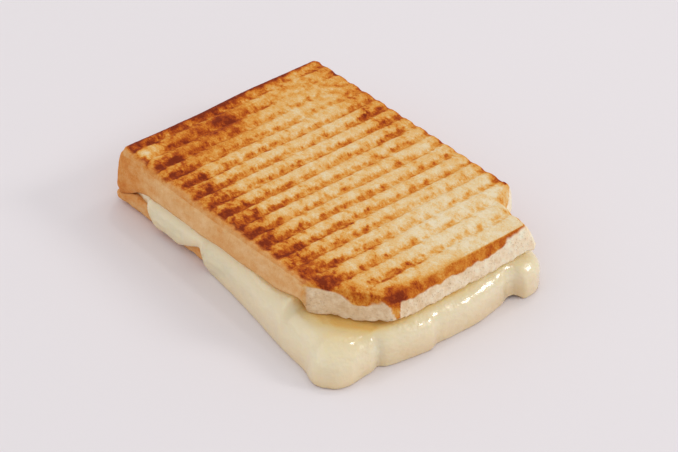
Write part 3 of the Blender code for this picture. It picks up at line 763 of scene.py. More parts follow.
@dataclass(frozen=True)
class BreadSlice:
    """One slice of bread: a grooved face, side walls that bulge and a flat inner face."""

    name: str
    node: str
    slot: str
    corners: tuple
    facing: Facing
    face_z: Pair
    inner_z: Pair
    crust_wall: tuple
    cut_wall: tuple
    grill: GrillPress
    toast: ToastMap
    finish: BreadFinish
    column_step: float
    row_step: float
    ring_step: float
    relief: float
    pores: float
    seed: int
    end_x: Pair = (-68.0, 64.4)
    crust_ends_x: float = 40.5
    cut_face_y: Pair = (-31.0, 36.5)
    near_cut_wall: tuple = ((0.5, 0.11), (0.6, 0.32), (0.5, 0.58), (0.4, 0.85), (0.3, 1.0))
    far_cut_wall: tuple = ((1.7, 0.11), (3.2, 0.32), (4.6, 0.58), (5.6, 0.85), (5.2, 1.0))
    sag: tuple = (4.8, -69.0, 14.0)
    corner_reach: float = 12.0
    bevel: float = 2.4
    bevel_share: float = 0.11
    bevel_fade: tuple = (0.8, 18.0, 16.0)
    bevel_relief: Pair = (0.5, 9.0)
    bevel_start_x: Pair = (49.0, 58.0)
    rim_lifts: tuple = ((2.0, -60.0, 12.0), (0.5, -20.0, 20.0), (3.1, 24.0, 16.0))
    rim_lift_end: Pair = (39.6, 2.4)
    seam: float = 1.0
    streak: Pair = (-28.6, 1.75)
    burnt: Pair = (-27.0, 6.5)
    far_corner_y: float = 36.8
    edge_rows: tuple = (0.0, 0.35, 0.75, 1.2, 1.75, 2.4, 3.2)
    end_columns: tuple = (0.0, 0.22, 0.55, 1.0, 1.5, 2.0)

    @property
    def is_top(self) -> bool:
        """Whether this is the upper slice, whose cut sides show."""
        return self.facing is Facing.UP

    def lengthwise(self, pair: Pair, x: Any) -> Any:
        """The value at x of something given at the crust end and at the cut end."""
        return mix(pair[0], pair[1], (x - self.end_x[0]) / (self.end_x[1] - self.end_x[0]))

    def inner_height(self, x: Any) -> Any:
        """The height of the inner face: level but for the sag at the crust end."""
        fall, start, width = self.sag
        return self.lengthwise(self.inner_z, x) - fall * (1.0 - rise(x, start, width))

    def cut_share(self, x: Any) -> Any:
        """0 where the side is crust and 1 where it is cut crumb, which only the upper slice shows."""
        return rise(x, self.crust_ends_x - 0.6, 1.2) * self.is_top

    def columns(self, outline: np.ndarray) -> np.ndarray:
        """The x of each column of the grooved face."""
        low, high = outline[:, 0].min(), outline[:, 0].max()
        ends = np.array(self.end_columns)
        count = round((high - low - 2.0 * ends[-1]) / self.column_step)
        middle = np.linspace(low + ends[-1], high - ends[-1], count + 1)
        return np.concatenate((low + ends[:-1], middle, high - ends[-2::-1]))

    def sides(self, outline: np.ndarray, xs: np.ndarray) -> tuple[np.ndarray, np.ndarray]:
        """The lowest and highest y of the outline at each x."""
        low, high = np.full(len(xs), 1e9), np.full(len(xs), -1e9)
        for (x0, y0), (x1, y1) in zip(outline, np.roll(outline, -1, axis=0)):
            inside = (xs >= min(x0, x1) - 1e-6) & (xs <= max(x0, x1) + 1e-6)
            flat = abs(x1 - x0) < 1e-6
            ends = (y0, y1) if flat else (mix(y0, y1, np.clip((xs - x0) / (x1 - x0), 0.0, 1.0)),) * 2
            low = np.where(inside, np.minimum(low, np.minimum(*ends)), low)
            high = np.where(inside, np.maximum(high, np.maximum(*ends)), high)
        return low, high

    def face_grid(self, outline: np.ndarray) -> tuple[np.ndarray, np.ndarray, np.ndarray]:
        """The grooved face as grids of x and y, with each point's distance from the outline."""
        xs = self.columns(outline)
        low, high = self.sides(outline, xs)
        edge = np.array(self.edge_rows)
        span = float((high - low).max()) - 2.0 * edge[-1]
        shares = np.linspace(0.0, 1.0, round(span / self.row_step) + 1)
        first, last = low + edge[-1], high - edge[-1]
        rows = [low[:, None] + edge[None, :-1], mix(first[:, None], last[:, None], shares[None, :]),
                high[:, None] - edge[None, -2::-1]]
        ys = np.concatenate(rows, axis=1)
        xs = np.broadcast_to(xs[:, None], ys.shape)
        across = np.minimum(ys - low[:, None], high[:, None] - ys)
        along = np.minimum(xs - xs[0, 0], xs[-1, 0] - xs)
        return xs, ys, np.minimum(across, along)

    def face_height(self, x: np.ndarray, y: np.ndarray, distance: np.ndarray) -> np.ndarray:
        """The height of the face before the grooves are pressed."""
        if not self.is_top:
            return 0.5 * self.fall(distance, 2.6)
        most = mix(2.6, 1.0, rise(x, -20.0, 60.0))
        soft = most * self.fall(distance, 5.0) / 5.0
        crisp = 0.6 * self.fall(distance, mix(1.6, 0.6, self.cut_share(x)))
        waves = 0.35 * Waves.FACE.at(x, y)
        return self.lengthwise(self.face_z, x) + waves - mix(soft, crisp, rise(y, -15.0, 30.0))

    @staticmethod
    def fall(distance: np.ndarray, radius: Any) -> np.ndarray:
        """How far a rounded edge has fallen at this distance from the outline."""
        inside = np.clip(distance, 0.0, radius)
        return radius - np.sqrt(np.maximum(radius * radius - (radius - inside) ** 2, 0.0))

    @staticmethod
    def profile(keys: tuple, share: Any) -> Any:
        """How far a side stands out at this share of the way from the face to the inner face."""
        out, at = zip((0.0, 0.0), *keys)
        return np.interp(share, at, out)

    def pressed(self, x: np.ndarray, y: np.ndarray) -> np.ndarray:
        """How far the last rib pressed down the edge of the cut end."""
        from_corner = np.hypot(x - self.end_x[1], y - self.cut_face_y[0])
        near = 1.0 - self.bevel_relief[0] * (1.0 - rise(from_corner, 0.0, self.bevel_relief[1]))
        far = 1.0 - self.bevel_fade[0] * rise(y, *self.bevel_fade[1:])
        start = np.where(y > 0.0, self.bevel_start_x[1], self.bevel_start_x[0])
        return self.bevel * near * far * rise(x, start, 5.5) * self.is_top

    def rim_lift(self, x: np.ndarray, y: np.ndarray, end: Pair) -> np.ndarray:
        """How far the crust's lower rim is lifted on the near side, up to this end."""
        lift = sum(height * rise(x, start, width) for height, start, width in self.rim_lifts)
        return lift * (1.0 - rise(x, *end)) * (y < 0.0) * self.is_top

    def slide(self, x: np.ndarray, y: np.ndarray, near_cut: np.ndarray, out: float) -> np.ndarray:
        """How far the near cut side slides along itself, to meet the cut end where that stands out.

        Args:
            x: The rim's x.
            y: The rim's y.
            near_cut: 1 on the near cut side and 0 elsewhere.
            out: How far the cut end stands out on this ring.

        Returns:
            The move in x and y, as rows.
        """
        corner, end = np.array(self.corners[1][:2]), np.array(self.corners[2][:2])
        slope = (end[1] - corner[1]) / (end[0] - corner[0])
        along = np.clip((x - corner[0]) / (end[0] - corner[0]), 0.0, 1.0) * near_cut
        on_end = (1.0 - near_cut) * self.cut_share(x) * (1.0 - rise(y, end[1], self.corner_reach))
        return out * np.stack((along, slope * (along + on_end)), axis=-1)

    def closed_share(self, x: np.ndarray, y: np.ndarray) -> np.ndarray:
        """1 where the crusts are pressed together and 0 where cheese runs out between them."""
        return np.maximum(rise(-x, 54.0, 6.0), rise(y, 0.0, 20.0) * rise(-x, -self.crust_ends_x, 4.0))

    def ragged(self, x: np.ndarray, y: np.ndarray) -> np.ndarray:
        """How far the torn rim of the cut sides rises."""
        fine = np.maximum(0.45 + 1.3 * Waves.TEARS.at(x, y), 0.0)
        coarse = np.maximum(0.3 + 1.2 * Waves.LONG_TEARS.at(x, y), 0.0)
        from_middle = np.abs(y - sum(self.cut_face_y) / 2.0)
        lift = 1.4 * rise(x, 58.0, 5.0) * rise(from_middle, 20.7, 13.0)
        return ((0.6 * fine + 0.9 * coarse) * self.cut_share(x) + lift) * self.is_top

    def wall(self, rim: np.ndarray, normals: np.ndarray, shares: np.ndarray) -> np.ndarray:
        """The side wall, as rings of points from the face's rim to the inner face."""
        x, y, face_z = rim.T
        cut = self.cut_share(x)
        near_cut = cut * rise(-normals[:, 1], 0.25, 0.4)
        far_cut = cut * rise(normals[:, 1], 0.25, 0.4) * rise(x, 41.0, 6.0)
        pressed, ragged = self.pressed(x, y), self.ragged(x, y)
        inner_z = self.inner_height(x) + self.rim_lift(x, y, self.rim_lift_end)
        seam = math.copysign(self.seam, self.inner_z[0] - self.face_z[0]) * self.closed_share(x, y)
        rings = []
        for share in shares:
            down = min(share / self.bevel_share, 1.0)
            z = mix(face_z - pressed * down, inner_z, share)
            out = self.profile(self.cut_wall, share)
            offset = self.profile(self.crust_wall, share)
            for other, where in ((out, cut), (self.profile(self.near_cut_wall, share), near_cut),
                                 (self.profile(self.far_cut_wall, share), far_cut)):
                offset = mix(offset, other, where)
            offset = offset * (1.0 + 0.9 * np.maximum(-normals[:, 0], 0.0))
            rough = 0.45 * Waves.CRUST.at(x, y, z) + 0.15 * Waves.CRUST_LUMPS.at(x, y, z)
            fade = 1.0 - smooth((share - self.bevel_share) / 0.3)
            offset = offset + rough * min(share / 0.1, 1.0) + 0.2 * pressed * down * fade
            z = z + rise(share, 0.55, 0.45) * seam + rise(share, 0.72, 0.28) * ragged
            slide = self.slide(x, y, near_cut, out * self.is_top)
            rings.append(np.column_stack((rim[:, :2] + normals * offset[:, None] + slide, z)))
        return np.array(rings)

    def wall_marks(self, rim: np.ndarray, normals: np.ndarray, share: np.ndarray, pads: np.ndarray,
                   ribs: np.ndarray) -> dict[str, np.ndarray]:
        """What the wall's points carry for the material and for the grill press.

        Args:
            rim: The face's rim.
            normals: The outline's normals at the rim.
            share: Each ring's share of the way down, as a column.
            pads: The rim's browning on pads.
            ribs: The rim's browning in grooves.

        Returns:
            Values for each ring and rim point.
        """
        x, y = rim[:, 0], rim[:, 1]
        cut, pressed = self.cut_share(x), self.pressed(x, y) / self.bevel
        at_end = rise(x, 61.5, 2.0) * rise(y, -32.5, 2.0) * (y < self.far_corner_y)
        far_corner = rise(x, 41.0, 3.0) * rise(y, self.far_corner_y, 2.0)
        streak = bell(y, *self.streak) * at_end
        burnt = bell(y, *self.burnt) * rise(x, 56.0, 6.0) * (1.0 - rise(share, 0.1, 0.08))
        torn = 0.055 * Waves.SCORCH_TEARS.at(x, y) + 0.09 * Waves.LONG_SCORCH_TEARS.at(x, y)
        scorched = mix(0.04, mix(0.13, 0.05, rise(y, 22.0, 12.0)), pressed) if self.is_top else 0.1
        scorched = scorched + torn * (0.3 + pressed) + 0.95 * streak + 0.34 * far_corner
        crumb = cut * rise(share, scorched, 0.055)
        crust = (1.0 - cut) * np.maximum(rise(share, 0.05, 0.12), self.toast.skirt(x, y, 0.0))
        sliver = bell(x, self.crust_ends_x, 0.6) * (y < 0.0)
        tone = self.crust_tone(x, y)
        bevel = 0.6 + 0.2 * Waves.BEVEL_TONE.at(x, y) + 0.08 * rise(-y, 0.0, 20.0) + 0.32 * burnt
        bevel = bevel + 0.08 * rise(y, 22.0, 10.0) - 0.22 * streak * rise(share, 0.22, 0.25) - 0.12 * (1.0 - at_end)
        bevel = mix(bevel, 0.2, far_corner)
        face_tone = mix(np.maximum(pads, ribs * 0.6), bevel, cut * smooth(share / 0.02))
        marks = {
            "press": self.grill.strength(x, y),
            "drop": 1.0 - share,
            "edge": 1.0 - smooth(share / 0.16),
            "side": normals[:, 1],
            "rough": mix(1.0, mix(0.4, 0.7, cut), smooth(share / 0.15)),
            "crumb": np.clip(crumb * (1.0 - sliver), 0.0, 1.0),
            "crust": np.clip(crust, 0.0, 1.0),
            "pads": np.clip(mix(mix(face_tone, tone, crust), 0.34, sliver), 0.0, 1.0),
            "ribs": mix(ribs, np.maximum(face_tone, tone), smooth(share / 0.12)),
        }
        return {name: np.broadcast_to(values, (len(share), len(x))) for name, values in marks.items()}

    def crust_tone(self, x: np.ndarray, y: np.ndarray) -> np.ndarray:
        """The tone of the crust sides, from pale tan to orange brown."""
        browner = 0.26 + 0.34 * (1.0 - rise(x, -68.0, 30.0)) + 0.1 * rise(y, 0.0, 30.0)
        return (browner if self.is_top else 0.4) + 0.08 * Waves.CRUST_TONE.at(x, y)

    def build(self) -> bpy.types.Object:
        """Builds the slice and dresses it.

        Returns:
            The finished piece, which stands for its node.
        """
        outline = rounded_outline(self.corners)
        xs, ys, distance = self.face_grid(outline)
        zs = self.face_height(xs, ys, distance)
        pads, ribs = self.toast.levels(xs, ys, distance)
        side = np.broadcast_to(np.where(ys < ys.mean(axis=1, keepdims=True), -1.0, 1.0), ys.shape)
        shell = Shell()
        numbers = shell.add(np.stack((xs, ys, zs), axis=-1), {
            "press": self.grill.strength(xs, ys), "drop": 1.0, "edge": np.exp(-distance / 1.1), "side": side,
            "rough": 1.0, "crumb": 0.0, "crust": self.toast.skirt(xs, ys, distance), "pads": pads, "ribs": ribs})
        shell.grid(numbers)
        columns, rows = numbers.shape
        around = [(column, 0) for column in range(columns)] + [(columns - 1, row) for row in range(1, rows)]
        around += [(column, rows - 1) for column in range(columns - 2, -1, -1)]
        around += [(0, row) for row in range(rows - 2, 0, -1)]
        pick = tuple(np.array(around).T)
        rim = np.stack((xs[pick], ys[pick], zs[pick]), axis=-1)
        normals = outward_normals(rim[:, :2])
        height = abs(self.face_z[0] - self.inner_z[0])
        shares = np.concatenate((np.linspace(0.0, self.bevel_share, 8)[1:],
                                 np.linspace(self.bevel_share, 1.0, round(height / self.ring_step))[1:]))
        rings = self.wall(rim, normals, shares)
        marks = self.wall_marks(rim, normals, shares[:, None], pads[pick], ribs[pick])
        ring_numbers = shell.add(rings, marks)
        shell.band(np.concatenate((numbers[pick][None, :], ring_numbers)))
        last = ring_numbers[-1]
        for share, lift_share in zip(CORE_SHARES, (0.7, 0.0)):
            x, y = towards_core(rim[:, :2], share).T
            lift = lift_share * self.rim_lift(x, rim[:, 1], self.rim_lift_end)
            inner = np.column_stack((x, y, self.inner_height(x) + lift))
            inner_numbers = shell.add(inner, {name: values[-1] for name, values in marks.items()})
            shell.band(np.stack((last, inner_numbers)))
            last = inner_numbers
        shell.cap(last)
        piece = self.grill.press(shell.make(self.name), self.finish.material(), self.relief, self.pores,
                                 self.is_top, self.seed)
        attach(piece, BODY)
        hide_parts(self.node)
        return piece


class Rim:
    """The lower slice's outline, measured along its length."""

    def __init__(self, outline: np.ndarray) -> None:
        """Measures the outline."""
        self.closed = np.vstack((outline, outline[:1]))
        steps = np.linalg.norm(np.diff(self.closed, axis=0), axis=1)
        self.at = np.concatenate(((0.0,), np.cumsum(steps)))
        self.length = float(self.at[-1])

    def points(self, places: Any) -> np.ndarray:
        """The points at these lengths along the outline."""
        places = np.mod(places, self.length)
        return np.stack([np.interp(places, self.at, self.closed[:, axis]) for axis in (0, 1)], axis=-1)

    def normals(self, places: Any, reach: float = 1.2) -> np.ndarray:
        """The outward normals, averaged over a short stretch."""
        places = np.asarray(places)
        tangent = self.points(places + reach) - self.points(places - reach)
        normal = np.stack((tangent[..., 1], -tangent[..., 0]), axis=-1)
        return normal / np.linalg.norm(normal, axis=-1, keepdims=True)

    def nearest(self, point: np.ndarray) -> float:
        """The length along the outline of the place nearest to a point."""
        places = np.arange(0.0, self.length, 0.1)
        return float(places[np.argmin(np.linalg.norm(self.points(places) - point, axis=1))])


def even_curve(values: np.ndarray, at: np.ndarray) -> np.ndarray:
    """Values through the keys 0, 1, 2 and so on, without overshoot.

    Args:
        values: The value at each key.
        at: Where to read the curve, in key numbers.

    Returns:
        The curve's values.
    """
    slopes = np.diff(values)
    before, after = slopes[:-1], slopes[1:]
    same_way = before * after > 0.0
    middle = np.where(same_way, 2.0 * before * after / np.where(same_way, before + after, 1.0), 0.0)
    tangents = np.concatenate((slopes[:1], middle, slopes[-1:]))
    key = np.minimum(at.astype(int), len(values) - 2)
    t = at - key
    rest = 1.0 - t
    return (values[key] * (1.0 + 2.0 * t) * rest * rest + tangents[key] * t * rest * rest
            + values[key + 1] * t * t * (3.0 - 2.0 * t) - tangents[key + 1] * t * t * rest)


@dataclass(frozen=True)
class MeltedCheese:
    """Melted cheese between the slices, which runs out and hangs over the lower one."""

    lower: BreadSlice
    upper: BreadSlice
    finish: CheeseFinish
    hem: tuple
    name: str = "cheese_flow"
    node: str = "melted_cheese"
    slot: str = "cheese"
    station_step: float = 1.0
    hidden_reach: float = -1.4
    hidden_keys: int = 9
    hidden_most: float = 1.2
    hidden_free: float = 0.3
    clearance: float = 0.5
    skin: float = 1.0
    bed_gap: float = 0.2
    shoulder_rings: int = 34
    toe_rings: int = 4
    under_rings: int = 13
    shoulder_power: float = 2.4
    end_fullness: float = 1.8
    end_slope: float = 0.4
    droop: float = 0.16
    lift_end: Pair = (35.0, 4.0)
    toe_height: float = 0.9
    toe_tuck: float = 0.75
    hidden_tuck: float = 0.15
    # Least fall where the cheese lies bare of the top slice, so less painted shade shows there
    unshaded_fall: float = 0.16
    wave_height: float = 0.32
    wave_size: float = 9.0
    ripple_size: float = 3.4
    seed: int = 5

    def stations(self) -> tuple[Rim, np.ndarray]:
        """The places round the rim where the cheese has a section.

        Returns:
            The rim, and for each station its place, reach, drift and hem height.
        """
        rim = Rim(rounded_outline(self.lower.corners))
        keys = []
        for x, y, z in self.hem:
            place = rim.nearest(np.array((x, y)))
            away = np.array((x, y)) - rim.points(place)
            normal = rim.normals(place)
            keys.append((place, float(away @ normal), float(away @ (-normal[1], normal[0])), z))
        first, last = keys[0][0] + rim.length, keys[-1][0]
        for key in range(self.hidden_keys):
            place = mix(last, first, (key + 0.6) / (self.hidden_keys + 0.2))
            keys.append((place, self.hidden_reach, 0.0, self.lower.inner_z[0] + 1.0))
        keys.append((first, *keys[0][1:]))
        fine = np.linspace(0.0, len(keys) - 1, 60 * (len(keys) - 1) + 1)
        curves = np.array([even_curve(channel, fine) for channel in np.array(keys).T])
        rim_step = np.abs(np.diff(curves[0]))
        step = np.hypot(np.diff(curves[1]), np.diff(curves[3])) + 2.0 * rim_step
        weight = np.where(fine[:-1] > len(self.hem) - 1, 0.35, 1.0)
        travel = np.concatenate(((0.0,), np.cumsum(step * weight)))
        count = round(travel[-1] / (2.0 * self.station_step))
        wanted = np.arange(count) * travel[-1] / count
        return rim, np.stack([np.interp(wanted, travel, curve) for curve in curves], axis=1)

    def bare(self, points: np.ndarray) -> np.ndarray:
        """How far the places lie outside the top slice's near cut side."""
        corner = np.array(self.upper.corners[1][:2])
        along = np.array(self.upper.corners[2][:2]) - corner
        along /= np.linalg.norm(along)
        away = points - corner
        return away[..., 0] * along[1] - away[..., 1] * along[0]

    def top_z(self, points: np.ndarray) -> np.ndarray:
        """The height of the cheese's upper face: against the top slice, drooping where it lies bare."""
        droop = self.droop * np.maximum(self.bare(points) - 2.0, 0.0) * rise(points[..., 0], 40.5, 8.0)
        return self.upper.inner_height(points[..., 0]) - 0.1 - droop

    def crust_offset(self, x: float, y: float, z: np.ndarray) -> np.ndarray:
        """How far the cheese's inner side stays out from the lower slice's outline."""
        out = self.lower.profile(self.lower.crust_wall, z / self.lower.inner_height(x))
        return out + 0.45 * Waves.CRUST.at(x, y, z) + self.clearance

    def free_side(self, base: np.ndarray, reach: float, foot_z: float,
                  top_z: float) -> tuple[np.ndarray, np.ndarray, float]:
        """The side that hangs free, from the top face down to the toe.

        Args:
            base: The place on the lower slice's outline.
            reach: How far out from it the cheese goes.
            foot_z: The height where the side ends.
            top_z: The height of the top face.

        Returns:
            How far out each point is, how high it is, and the height of the toe.
        """
        toe = min(self.toe_height, 0.5 * (top_z - foot_z))
        angle = 0.5 * math.pi * np.linspace(0.0, 1.0, self.shoulder_rings + 1)
        at_end = float(rise(base[0], 60.0, 4.0) * rise(base[1], -38.0, 8.0))
        power = 2.0 / (self.shoulder_power + self.end_fullness * at_end)
        up = np.maximum(np.cos(angle), 0.0) ** power
        offset = mix(min(-1.6, reach - 0.8), reach, np.sin(angle) ** power)
        slope = at_end * self.end_slope * np.maximum(offset - 0.8, 0.0) * up
        return offset, mix(foot_z + toe, top_z, up) - slope, toe

    def section(self, rim: Rim, station: np.ndarray) -> tuple[np.ndarray, np.ndarray, np.ndarray]:
        """The section of the cheese at one station, from its top face round to its bottom face.

        Args:
            rim: The lower slice's outline.
            station: Place, reach, drift and hem height.

        Returns:
            The points, how far down the free side each is, and whether each is on the free side.
        """
        place, reach, drift, hem_z = (float(part) for part in station)
        base, normal = rim.points(place), rim.normals(place)
        tangent = np.array((-normal[1], normal[0]))
        top_z = float(self.top_z(base) + 0.85 * self.upper.rim_lift(base[0], base[1], self.lift_end))
        inner_z = float(self.lower.inner_height(base[0]))
        bed_z = inner_z + self.bed_gap
        draped = hem_z < inner_z
        foot_z = hem_z if draped else bed_z
        least = float(self.crust_offset(*base, np.array(foot_z))) + self.skin
        reach_now = max(reach, least) if draped else min(reach, self.hidden_most)
        offset, z, toe = self.free_side(base, reach_now, foot_z, top_z)
        if draped:
            least = self.crust_offset(*base, z) + self.skin
            offset = np.where(z < bed_z + 0.5, np.maximum(offset, least), offset)
            under_z = np.append(np.linspace(foot_z, inner_z, self.under_rings - 1), bed_z)
            under = self.crust_offset(*base, under_z[:-1])
            under = np.append(under, under[-1] - self.bed_gap)
        else:
            under_z = np.full(self.under_rings, bed_z)
            under = reach_now - np.linspace(0.35, 1.25, self.under_rings)
        bend = 0.5 * math.pi * np.arange(1, self.toe_rings + 1) / self.toe_rings
        tuck = self.toe_tuck if draped else self.hidden_tuck
        z = np.concatenate((z, foot_z + toe * (1.0 - np.sin(bend)), under_z))
        offset = np.concatenate((offset, reach_now - tuck * (1.0 - np.cos(bend)), under))
        share = np.clip(offset / reach, 0.0, 1.0) if reach > 0.5 else 0.0 * offset
        xy = base + normal * offset[:, None] + tangent * (drift * share)[:, None]
        inner, last = (towards_core(base, share) for share in CORE_SHARES)
        lift = 0.5 * self.upper.rim_lift(inner[0], base[1], self.lift_end)
        points = [(*last, float(self.top_z(last))), (*inner, float(self.top_z(inner) + lift))]
        points += np.column_stack((xy, z)).tolist()
        points += [(*point, self.lower.inner_height(point[0]) + self.bed_gap) for point in (inner, last)]
        outer = self.shoulder_rings + 1 + self.toe_rings
        # Where the cheese lies bare of the top slice, and towards the far side, fall starts above 0, so less of the
        # painted shade under the slice shows
        unshaded_share = np.maximum(rise(self.bare(xy[:outer]), 2.6, 5.0), rise(base[1], -10.0, 30.0))
        fall, free = np.zeros(len(points)), np.zeros(len(points))
        fall[2:outer + 2] = np.maximum(np.linspace(0.0, 1.0, outer), self.unshaded_fall * unshaded_share)
        fall[outer + 2:] = 1.0
        free[2:outer + 2] = np.clip(np.linspace(-0.15, 8.0, outer), 0.0, 1.0) * (1.0 if draped else self.hidden_free)
        free[outer - 2:outer + 2] *= (0.75, 0.5, 0.25, 0.0)
        return np.array(points), fall, free

    def build(self) -> bpy.types.Object:
        """Builds the cheese and dresses it.

        Returns:
            The finished piece, which stands for its node.
        """
        rim, stations = self.stations()
        sections = [self.section(rim, station) for station in stations]
        shell = Shell()
        points, fall, free = (np.stack(part, axis=1) for part in zip(*sections))
        numbers = shell.add(points, {"fall": fall, "free": free})
        shell.band(numbers)
        shell.cap(numbers[0])
        shell.cap(numbers[-1])
        piece = self.ripple(shell.make(self.name))
        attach(piece, BODY)
        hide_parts(self.node)
        return piece

    def ripple(self, piece: bpy.types.Object) -> bpy.types.Object:
        """Makes the free surface gently uneven, with Geometry Nodes."""
        tree = GeometryTree("cheese_ripple", {
            "Wave Height": self.wave_height * MM, "Seed": self.seed, "Finish": self.finish.material()})
        seeded = tree.seeded(tree.place())
        waves = tree.noise(seeded, self.wave_size * MM, 1.0, 0.4) - 0.5
        ripples = tree.noise(seeded, self.ripple_size * MM, 1.0, 0.4) - 0.5
        height = (waves * 2.8 + ripples * 0.8) * tree.read("free") * tree.value("Wave Height")
        return tree.apply(piece, tree.raised(tree.value("Geometry"), height))


@dataclass(frozen=True)
class Camera:
    """The camera, at the photograph's viewing angle."""

    azimuth: float = 47.887
    elevation: float = 36.628
    roll: float = 2.048
    distance: float = 947.5
    target: tuple[float, float, float] = (-3.66, 7.86, 0.0)
    focal_pixels: float = 2504.4
    image_width: float = 678.0
    sensor: float = 36.0

    def build(self) -> None:
        """Makes the camera and gives it to the scene."""
        azimuth, elevation, roll = (math.radians(a) for a in (self.azimuth, self.elevation, self.roll))
        right = Vector((math.cos(azimuth), math.sin(azimuth), 0.0))
        back = direction(azimuth, elevation)
        up = back.cross(right)
        turned_right = right * math.cos(roll) + up * math.sin(roll)
        turned_up = up * math.cos(roll) - right * math.sin(roll)
        place = (Vector(np.array(self.target) + FRAME_SHIFT) + back * self.distance) * MM
        data = bpy.data.cameras.new("camera")
        data.sensor_width = self.sensor
        data.lens = self.sensor * self.focal_pixels / self.image_width
        data.clip_start, data.clip_end = 0.05, 20.0
        camera = bpy.data.objects.new("camera", data)
        turn = Matrix((turned_right, turned_up, back)).transposed().to_4x4()
        camera.matrix_world = Matrix.Translation(place) @ turn
        bpy.context.scene.collection.objects.link(camera)
        bpy.context.scene.camera = camera


@dataclass(frozen=True)
class SoftBox:
    """A large soft light, by its direction from the sandwich."""

    name: str
    azimuth: float
    elevation: float
    distance: float
    size: float
    power: float
    colour: Colour = (1.0, 1.0, 1.0)

    def build(self) -> None:
        """Makes the light, turned towards the sandwich."""
        way = direction(math.radians(self.azimuth), math.radians(self.elevation))
        data = bpy.data.lights.new(self.name, "AREA")
        data.shape = "SQUARE"
        data.size = self.size
        data.energy = self.power
        data.color = self.colour
        light = bpy.data.objects.new(self.name, data)
        light.location = way * self.distance
        light.rotation_euler = way.to_track_quat("Z", "Y").to_euler()
        bpy.context.scene.collection.objects.link(light)


@dataclass(frozen=True)
class Studio:
    """A plain pale floor with soft light from all round and a few softboxes."""

    floor: FloorFinish
    lights: tuple[SoftBox, ...]
    sky: Colour = (0.93, 0.96, 1.0)
    sky_strength: float = 0.74
    floor_half: float = 3.0

    def build(self) -> None:
        """Makes the floor, the lights and the world, and sets plain colours."""
        mesh = bpy.data.meshes.new("floor")
        half = self.floor_half
        mesh.from_pydata([(-half, -half, 0.0), (half, -half, 0.0), (half, half, 0.0), (-half, half, 0.0)],
                         [], [(0, 1, 2, 3)])
        mesh.materials.append(self.floor.material())
        floor = bpy.data.objects.new("floor", mesh)
        bpy.context.scene.collection.objects.link(floor)
        for light in self.lights:
            light.build()
        world = bpy.data.worlds.new("studio")
        world.use_nodes = True
        background = world.node_tree.nodes["Background"]
        background.inputs["Color"].default_value = (*self.sky, 1.0)
        background.inputs["Strength"].default_value = self.sky_strength
        bpy.context.scene.world = world
        bpy.context.scene.view_settings.view_transform = "Standard"
        bpy.context.scene.view_settings.look = "None"


TOP_PATCHES = (
    # The band along the crust end
    Scorch(-68.5, 0.0, 4.0, 64.0, 0.5, 0.34),
    Scorch(-68.0, 28.0, 4.0, 10.0, 0.2, 0.14),
    Scorch(-67.5, -8.0, 5.5, 15.0, 0.1, 0.04),
    # The browned corner by it, with a burnt spot and a bare one
    Scorch(-55.6, -5.6, 4.6, 5.4, 0.4, 0.16),
    Scorch(-61.0, -10.0, 11.0, 19.0, 0.14, 0.1),
    Scorch(-49.0, -16.0, 10.0, 20.0, 0.2, 0.02),
    Scorch(-56.5, -40.0, 4.6, 5.0, -0.34, -0.45),
    Scorch(-64.5, -42.0, 4.0, 8.0, 0.16, 0.0),
    # The flat patch, and the browner stretch along the far side
    Scorch(-60.0, 16.0, 10.0, 26.0, 0.14, 0.1),
    Scorch(-50.0, 30.0, 16.0, 16.0, 0.08, -0.12),
    Scorch(-44.0, 46.0, 30.0, 9.0, 0.2, 0.16),
    Scorch(-17.0, 40.0, 18.0, 8.5, 0.12, 0.21),
    Scorch(39.0, 49.0, 5.0, 3.5, 0.45, 0.3),
    # Burnt spots along the near side
    Scorch(5.5, -45.0, 4.6, 3.6, 0.34, 0.1),
    Scorch(15.0, -45.0, 3.0, 3.4, 0.28, 0.1),
    Scorch(37.0, -45.0, 6.0, 4.0, 0.26, 0.12),
    Scorch(45.4, -41.6, 3.4, 3.6, 0.5, 0.45),
    Scorch(53.0, -37.5, 6.0, 4.0, 0.1, 0.02),
    Scorch(63.5, -25.5, 2.6, 5.0, 0.34, 0.26),
    # Browner grooves in the middle of the cut end's side
    Scorch(24.0, -6.0, 7.0, 12.0, 0.0, 0.1),
    Scorch(55.0, -16.0, 5.0, 6.0, 0.0, 0.14),
)

HEM = (
    # The thin flap
    (-50.4, -47.2, 9.6), (-47.7, -48.9, 7.6), (-45.2, -49.1, 4.6), (-42.2, -49.1, 2.7), (-36.5, -49.1, 3.3),
    (-30.5, -49.1, 2.6), (-24.2, -49.1, 5.2), (-17.2, -49.2, 8.5),
    # The main flow along the long side
    (-15.2, -49.1, 6.0), (-13.6, -49.0, 2.6), (-11.8, -48.8, 0.8), (-9.5, -48.8, 0.0), (12.0, -51.4, 0.0),
    (36.0, -55.7, 0.0),
    # The big lobe at the near corner
    (54.0, -57.9, 0.0), (59.5, -59.6, 0.0), (63.6, -59.4, 0.0), (67.4, -56.2, 0.0), (69.6, -50.0, 0.0),
    (69.0, -42.0, 0.0), (67.9, -36.2, 0.0),
    # The lower lobes along the cut end, with their folds and notches
    (69.8, -33.4, 0.0), (71.0, -28.3, 0.0), (72.9, -15.5, 0.0), (71.6, -10.5, 0.0), (72.2, -2.5, 0.0),
    (72.5, 5.0, 0.0), (71.8, 12.5, 0.0), (70.0, 22.5, 0.0), (68.9, 26.0, 0.9), (69.6, 29.0, 1.1),
    # The right-hand lobe, which ends inside the far crust
    (72.8, 32.0, 0.0), (72.6, 36.5, 0.0), (70.2, 41.5, 0.0), (65.0, 44.8, 0.0), (60.0, 45.6, 0.8),
    (55.5, 45.6, 4.6), (52.8, 45.2, 8.4), (50.0, 45.4, 9.7),
)


